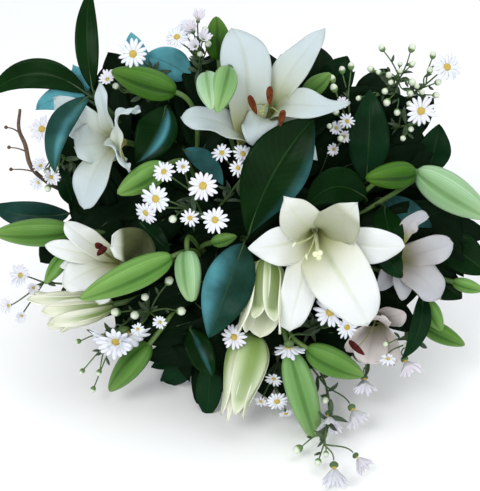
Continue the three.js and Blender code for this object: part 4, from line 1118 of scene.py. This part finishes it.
asterSprays = {
    "top_left": {
        "lane": 106, "fork": (188, 94, -90),
        "arms": [
            arm((148, 66, -32), bend=(-12, 0, -8), heads=[((133, 54, -5), 25)]),
            arm((130, 92, -44), heads=[((108, 80, -24), 15, (-0.2, 0.4, 0.8), 0.5)], buds=[
                (116, 86, -26, 7), (113, 73, -30, 7),
            ]),
            arm((200, 56, -44), heads=[
                ((177, 37, -24), 21, (-0.2, 0.3, 0.9)), ((187, 27, -32), 18, (0.2, 0.5, 0.8)),
                ((198, 21, -26), 12, (0.1, 0.5, 0.8), 0.9), ((193, 32, -28), 12, (-0.2, 0.4, 0.8), 0.9),
                ((203, 40, -18), 12, (0.2, 0.3, 0.9), 0.9), ((196, 47, -18), 11, (-0.2, 0.1, 0.9), 0.9),
            ], buds=[(205, 30, -24, 7), (208, 44, -20, 7), (200, 54, -20, 6)]),
        ],
    },
    "centre_left": {
        "lane": 151, "fork": (204, 218, -66),
        "arms": [
            arm((190, 190, -4), heads=[
                ((164, 172, 28), 19, (-0.3, 0.2, 0.9)), ((183, 167, 24), 12, (0, 0, 1), 0.6),
                ((203, 186, 28), 25),
            ]),
            arm((188, 208, -4), heads=[
                ((156, 199, 26), 25, (-0.3, -0.1, 0.9)), ((146, 213, 20), 21, (-0.5, -0.5, 0.7)),
                ((190, 218, 20), 16, (0, -0.3, 0.9)), ((215, 220, 24), 22),
            ], buds=[(173, 219, 18, 8)]),
            arm((241, 179, -20), heads=[
                ((222, 153, 4), 17, (-0.2, 0.3, 0.9)), ((243, 154, 2), 18, (0.3, 0.3, 0.9)),
                ((238, 168, 8), 15),
            ]),
        ],
    },
    "top_right": {
        "lane": 36, "fork": (376, 116, -96),
        "arms": [
            arm((400, 78, -62), buds=[
                (382, 48, -52, 7), (412, 48, -50, 8), (371, 69, -54, 7), (379, 72, -52, 6),
                (412, 64, -50, 7), (389, 75, -48, 7), (410, 93, -46, 7), (385, 91, -48, 7),
                (400, 71, -50, 6), (412, 82, -46, 8), (397, 112, -44, 7), (391, 82, -50, 6),
                (400, 64, -52, 5), (370, 97, -44, 5), (387, 102, -46, 8), (359, 98, -42, 6),
            ]),
            arm((426, 84, -58), heads=[((447, 67, -36), 25, (0.2, 0.1, 0.9))], buds=[
                (433, 55, -48, 7), (438, 82, -44, 7), (436, 95, -44, 7), (430, 70, -46, 7),
                (417, 86, -44, 6), (422, 92, -44, 6),
            ]),
            arm((412, 124, -48), heads=[((421, 111, -20), 26)], buds=[
                (411, 129, -30, 6), (403, 138, -32, 6), (409, 104, -38, 6),
            ]),
            arm((352, 128, -48), heads=[
                ((347, 121, -30), 14), ((336, 128, -36), 12, (-0.2, 0, 0.9), 0.5),
                ((344, 136, -38), 11, (0.1, -0.2, 0.9), 0.5), ((334, 149, -38), 11, (-0.3, -0.2, 0.9), 0.5),
                ((342, 104, -38), 11, (0, 0.2, 0.9), 0.6),
            ], buds=[
                (341, 138, -34, 7), (351, 66, -50, 7), (342, 70, -50, 7), (332, 79, -40, 8),
                (334, 88, -38, 8), (336, 112, -34, 7), (330, 126, -34, 6),
            ]),
        ],
    },
    "left": {
        "lane": 165, "fork": (92, 176, -100),
        "arms": [
            arm((56, 152, -60), heads=[
                ((42, 129, -30), 23, (-0.2, 0.2, 0.9)), ((41, 166, -44), 14, (-0.2, 0.3, 0.9), 0.5),
                ((51, 177, -42), 15, (0.3, 0, 0.9), 0.4), ((39, 182, -46), 13, (-0.4, -0.3, 0.8), 0.5),
            ], buds=[(47, 171, -46, 7), (48, 188, -44, 7), (56, 168, -50, 7)]),
        ],
    },
    "low_left": {
        "lane": 216, "fork": (150, 300, -92),
        "arms": [
            arm((150, 312, -44), heads=[
                ((160, 322, -12), 12, (0, 0, 1), 0.4), ((138, 329, -14), 11, (0, 0, 1), 0.4),
            ], buds=[
                (116, 312, -20, 9), (135, 315, -18, 9), (145, 297, -12, 8), (181, 311, -14, 9),
                (169, 281, -16, 9),
            ]),
            arm((112, 334, -68), heads=[
                ((106, 338, -34), 28, (-0.6, -0.5, 0.3), 0.35),
                ((126, 334, -32), 38, (0.5, -0.65, 0.3), 0.4),
                ((116, 341, -26), 30, (-0.1, -0.45, 0.75), 0.3),
            ], buds=[(78, 341, -72, 6), (82, 371, -72, 6), (93, 389, -74, 6), (99, 372, -66, 6)]),
            arm((44, 282, -84), heads=[
                ((21, 275, -70), 20, (-0.4, 0.1, 0.9), 0.3), ((34, 287, -72), 12, (0, -0.2, 0.9), 0.6),
                ((9, 305, -76), 14, (-0.4, -0.1, 0.9), 0.5), ((22, 315, -76), 11, (0, -0.3, 0.9), 0.6),
            ]),
        ],
    },
    "low_centre": {
        "lane": 300, "fork": (304, 308, -94),
        "arms": [
            arm((322, 328, -40), heads=[((330, 312, -6), 27), ((347, 327, -10), 20, (0.2, -0.3, 0.9))]),
            arm((314, 334, -40), heads=[((289, 346, -4), 27, (0, -0.8, -0.35), 0.3)]),
        ],
    },
    "bottom": {
        "lane": 284, "fork": (286, 338, -94),
        "arms": [
            arm((272, 378, -62), heads=[
                ((277, 401, -40), 20, (0, -0.5, 0.86)), ((261, 401, -44), 14, (-0.3, -0.6, 0.7)),
                ((286, 413, -44), 15, (0.2, -0.8, 0.5)), ((274, 378, -36), 15, (-0.2, -0.6, 0.7), 0.3),
            ]),
            arm((246, 352, -54), heads=[((234, 337, -4), 22, (-0.1, -0.1, 1))]),
            arm((326, 386, -64), heads=[
                ((329, 414, -38), 22, (0, -0.85, 0.5), 0.75), ((352, 408, -40), 23, (0.4, -0.8, 0.5), 0.75),
            ], buds=[(325, 400, -40, 8)]),
            arm((324, 444, -20), bend=(44, 0, 0), heads=[
                ((334, 466, 4), 24, (0, -0.85, 0.5), 0.75), ((356, 456, -4), 18, (0.6, -0.7, 0.4), 0.8),
            ], buds=[(318, 462, -8, 7), (298, 449, -22, 9), (326, 454, -10, 6)]),
        ],
    },
    "low_right": {
        "lane": 322, "fork": (398, 320, -104),
        "arms": [
            arm((416, 340, -42), heads=[
                ((405, 360, -30), 22, (0.4, -0.8, 0.5), 0.65),
                ((388, 358, -20), 15, (-0.1, -0.6, 0.7), 0.3),
            ], buds=[(407, 345, -34, 7), (386, 344, -26, 6)]),
            arm((366, 366, -66), heads=[((364, 378, -50), 22, (0, -0.85, 0.5), 0.65)]),
        ],
    },
}


# A head has a few rays, or many from a size on; its core is the disc's share of its radius
asterForm = {
    "radius": 0.00054, "core": 0.27, "few": 12, "many": 15, "manyFrom": 18,
    "armGirth": [1.15, 1.1, 1.05, 1.0, 0.9], "budGirth": [0.75, 0.65, 0.55],
    "leaflets": 9, "leafletLength": (0.009, 0.019), "leafletWidth": (0.0028, 0.0045),
    "bractLength": (0.005, 0.010), "bractWidth": 0.0024,
}


def asterHead(rays, discs, green, seed, place, size, look=(0, 0, 1), cupped=0.1):
    rng = random.Random(seed)
    centre = spot(place)
    direction = Vector(look).normalized()
    turn = towardsViewer.rotation_difference(direction).to_matrix()
    radius = size * asterForm["radius"]
    count = asterForm["few"] if size < asterForm["manyFrom"] else asterForm["many"]
    tone = max(0.0, rng.uniform(-0.1, 0.25) + 0.5 * max(0, cupped - 0.25))
    core = radius * asterForm["core"]
    rayWidth = radius * (0.14 + 0.12 * cupped)
    for k in range(count):
        angle = math.tau * (k + rng.uniform(-0.22, 0.22)) / count
        lift = cupped * (1 + cupped) + rng.uniform(-0.10, 0.10)
        reach = radius * rng.uniform(0.84, 1.06)
        ray = Matrix.Rotation(angle, 3, "Z")
        for vertex in ball(rays, 6, 6):
            t = (vertex.co.z + 1) / 2
            out = core * 0.7 + (reach - core * 0.7) * t
            flat = Vector((out, vertex.co.x * rayWidth, vertex.co.y * 0.0003))
            flat.z += flat.x * lift + radius * 0.16 * t * (1 - t) - radius * 0.06 * t * t
            mark(rays, vertex, t, 0.0, tone)
            vertex.co = centre + turn @ (ray @ flat)
    for vertex in ball(discs, 14, 8):
        x, y, z = vertex.co
        mark(discs, vertex, math.hypot(x, y), 0.0, tone)
        flat = Vector((x, y, z * 0.5 + cupped * 0.6)) * core * (1 - 0.35 * cupped)
        vertex.co = centre + turn @ flat
    for vertex in ball(green, 8, 6):
        x, y, z = vertex.co
        vertex.co = centre + turn @ (Vector((x * 1.15, y * 1.15, z * 0.9 - 0.7 + 0.6 * cupped)) * core)
    return centre - direction * (radius * 0.4), direction


def asterBud(buds, centre, away, size):
    turn = towardsViewer.rotation_difference(away).to_matrix()
    for vertex in ball(buds, 12, 9):
        x, y, z = vertex.co
        t = (z + 1) / 2
        mark(buds, vertex, t, 0.0, 0.0)
        ripple = 1 + 0.08 * math.cos(5 * math.atan2(y, x)) * t
        flat = Vector((x * ripple * 0.42, y * ripple * 0.42, z * 0.54))
        vertex.co = centre + turn @ (flat * size * mm)


def leafletOn(shape, start, way, length, width, seed):
    rng = random.Random(seed)
    end = start + way * length
    middle = start.lerp(end, 0.5) + Vector((rng.uniform(-0.2, 0.2), rng.uniform(-0.2, 0.2), 0.25)) * length
    bladeOn(shape, quadratic(start, middle, end), lambda t, tangent: towardsViewer,
            lambda t: leafHalf(t, width), lambda t, s, half: half * 0.3 * abs(s), rng.uniform(0, 0.3), (8, 4))


for name, spray in asterSprays.items():
    points, radii = stemRun(spray["lane"], asterStem, spot(spray["fork"]))
    runs = [(points, radii)]
    rays, discs, green, buds, leaflets = (newShape() for k in range(5))
    rng = random.Random(f"leaflets {name}")
    for index, branch in enumerate(spray["arms"]):
        start = branchPoint(points, index, asterStem)
        split = spot(branch["at"])
        middle = start.lerp(split, 0.5) + Vector(branch["bend"]) * mm
        route = quadratic(start, middle, split)
        runs.append((route[::8], asterForm["armGirth"]))
        for k in range(asterForm["leaflets"]):
            foot = pointOn(route, rng.uniform(0.45, 1.0))
            angle = rng.uniform(0, math.tau)
            way = Vector((math.cos(angle), math.sin(angle), rng.uniform(-0.1, 0.5))).normalized()
            length = rng.uniform(*asterForm["leafletLength"])
            width = rng.uniform(*asterForm["leafletWidth"])
            leafletOn(leaflets, foot, way, length, width, f"{name}{index}{k}")
        for number, head in enumerate(branch["heads"]):
            end, direction = asterHead(rays, discs, green, f"{name}{index}{number}", *head)
            runs.append(stalk(split, end, direction, **headStalk))
        for number, (column, row, depth, size) in enumerate(branch["buds"]):
            centre = spot((column, row, depth))
            start = pointOn(route, 1 - 0.3 * (number * 0.37 % 1))
            away = (centre - start).normalized()
            side = away.cross(towardsViewer).normalized()
            middle = start.lerp(centre, 0.5) + side * ((column * 7 + row * 3) % 5 - 2) * 0.0012
            runs.append(([start, middle, centre - away * size * 0.0004], asterForm["budGirth"]))
            asterBud(buds, centre, away, size)
            way = (away + side * rng.choice((-1, 1))).normalized()
            length = rng.uniform(*asterForm["bractLength"])
            leafletOn(leaflets, middle, way, length, asterForm["bractWidth"], f"{column} {row}")
    tubes(green, runs, sides=2)
    node = f"aster_spray_{name}"
    finishPiece(f"asterStems.{name}", green, "sprig", node)
    finishPiece(f"asterLeaves.{name}", leaflets, "sprigLeaf", node, sheetWall["leaflet"])
    parts = {"Rays": (rays, "ray"), "Discs": (discs, "disc"), "Buds": (buds, "asterBud")}
    for label, (shape, finish) in parts.items():
        if shape.verts:
            finishPiece(f"aster{label}.{name}", shape, finish, node)
print("asters made")

# The brown twig at the left
brownTwig = {
    "lane": 179, "fork": (62, 190, -94),
    "places": [(45, 180, -72), (31, 166, -62), (25, 144, -58), (19, 129, -58), (20, 109, -60)],
    "girth": [1.9, 2.0, 2.1, 2.0, 1.7, 1.3], "spurGirth": [0.8, 0.6, 0.5], "budRadius": 0.0018,
    "spurs": [
        ((37, 172, -64), (11, 169, -60)), ((28, 152, -59), (9, 147, -60)), ((19, 132, -58), (6, 127, -58)),
    ],
}
route = [spot(place) for place in (brownTwig["fork"], *brownTwig["places"])]
runs = [stemRun(brownTwig["lane"], asterStem, route[0]), (route, brownTwig["girth"])]
bark = newShape()
for pair in brownTwig["spurs"]:
    near, far = (spot(place) for place in pair)
    runs.append(([near, near.lerp(far, 0.5) + Vector((0, mm, 0)), far], brownTwig["spurGirth"]))
    bmesh.ops.translate(bark, vec=far, verts=ball(bark, 8, 6, brownTwig["budRadius"]))
tubes(bark, runs)
finishPiece("twigBark", bark, "twig", "brown_twig")

# The tie: turns of twine side by side round the stems
lapPoints = 24
twineGirth = 560  # radius of a turn in mm for each metre between two turns
twine = newShape()
runs = []
pitch = tie["width"] / tie["turns"]
for k in range(tie["turns"]):
    lap = []
    for n in range(lapPoints + 1):
        angle = math.tau * n / lapPoints
        radius = tie["bore"] + tie["wall"] * 0.5 + 0.0003 * math.sin(5 * angle + k)
        depth = tie["depth"] - tie["width"] / 2 + pitch * (k + 0.5) + 0.0004 * math.sin(3 * angle + 2 * k)
        lap.append(Vector((radius * math.cos(angle), radius * math.sin(angle), depth)))
    runs.append((lap, [pitch * twineGirth] * len(lap)))
tubes(twine, runs, sides=4)
finishPiece("twineTurns", twine, "twine", "tie")
print("tie made")

# Floor, backdrop light and soft lamps
floor = bpy.data.meshes.new("floor")
ground = bmesh.new()
bmesh.ops.create_grid(ground, x_segments=1, y_segments=1, size=4)
ground.to_mesh(floor)
ground.free()
floor.materials.append(surface("paleFloor", **{"Roughness": 0.7, "Base Color": (0.95, 0.95, 0.95, 1)})[0])
newObject("floor", floor)

world = bpy.data.worlds.new("studio")
bpy.context.scene.world = world
world.use_nodes = True
backdrop = world.node_tree.nodes["Background"].inputs
backdrop["Color"].default_value = (0.94, 0.97, 1.0, 1)
backdrop["Strength"].default_value = 0.66
bpy.context.scene.view_settings.view_transform = "Standard"


def softLamp(name, place, target, size, power, colour):
    lamp = bpy.data.lights.new(name, "AREA")
    lamp.shape = "DISK"
    lamp.size = size
    lamp.energy = power
    lamp.color = colour
    holder = newObject(name, lamp)
    holder.location = place
    holder.rotation_euler = (Vector(target) - Vector(place)).to_track_quat("-Z", "Y").to_euler()


softLamp("skyLamp", (0.5, 0.3, 2.1), (0, 0, 0.1), 2.2, 18, (0.97, 0.99, 1.0))
softLamp("frontLamp", (-0.95, -1.35, 1.75), (0, 0, 0.15), 1.0, 20, (1.0, 1.0, 0.99))
softLamp("lowLamp", (0.5, -2.1, 0.9), (0, -0.3, 0), 1.6, 15, (1.0, 1.0, 1.0))
print("lights set")
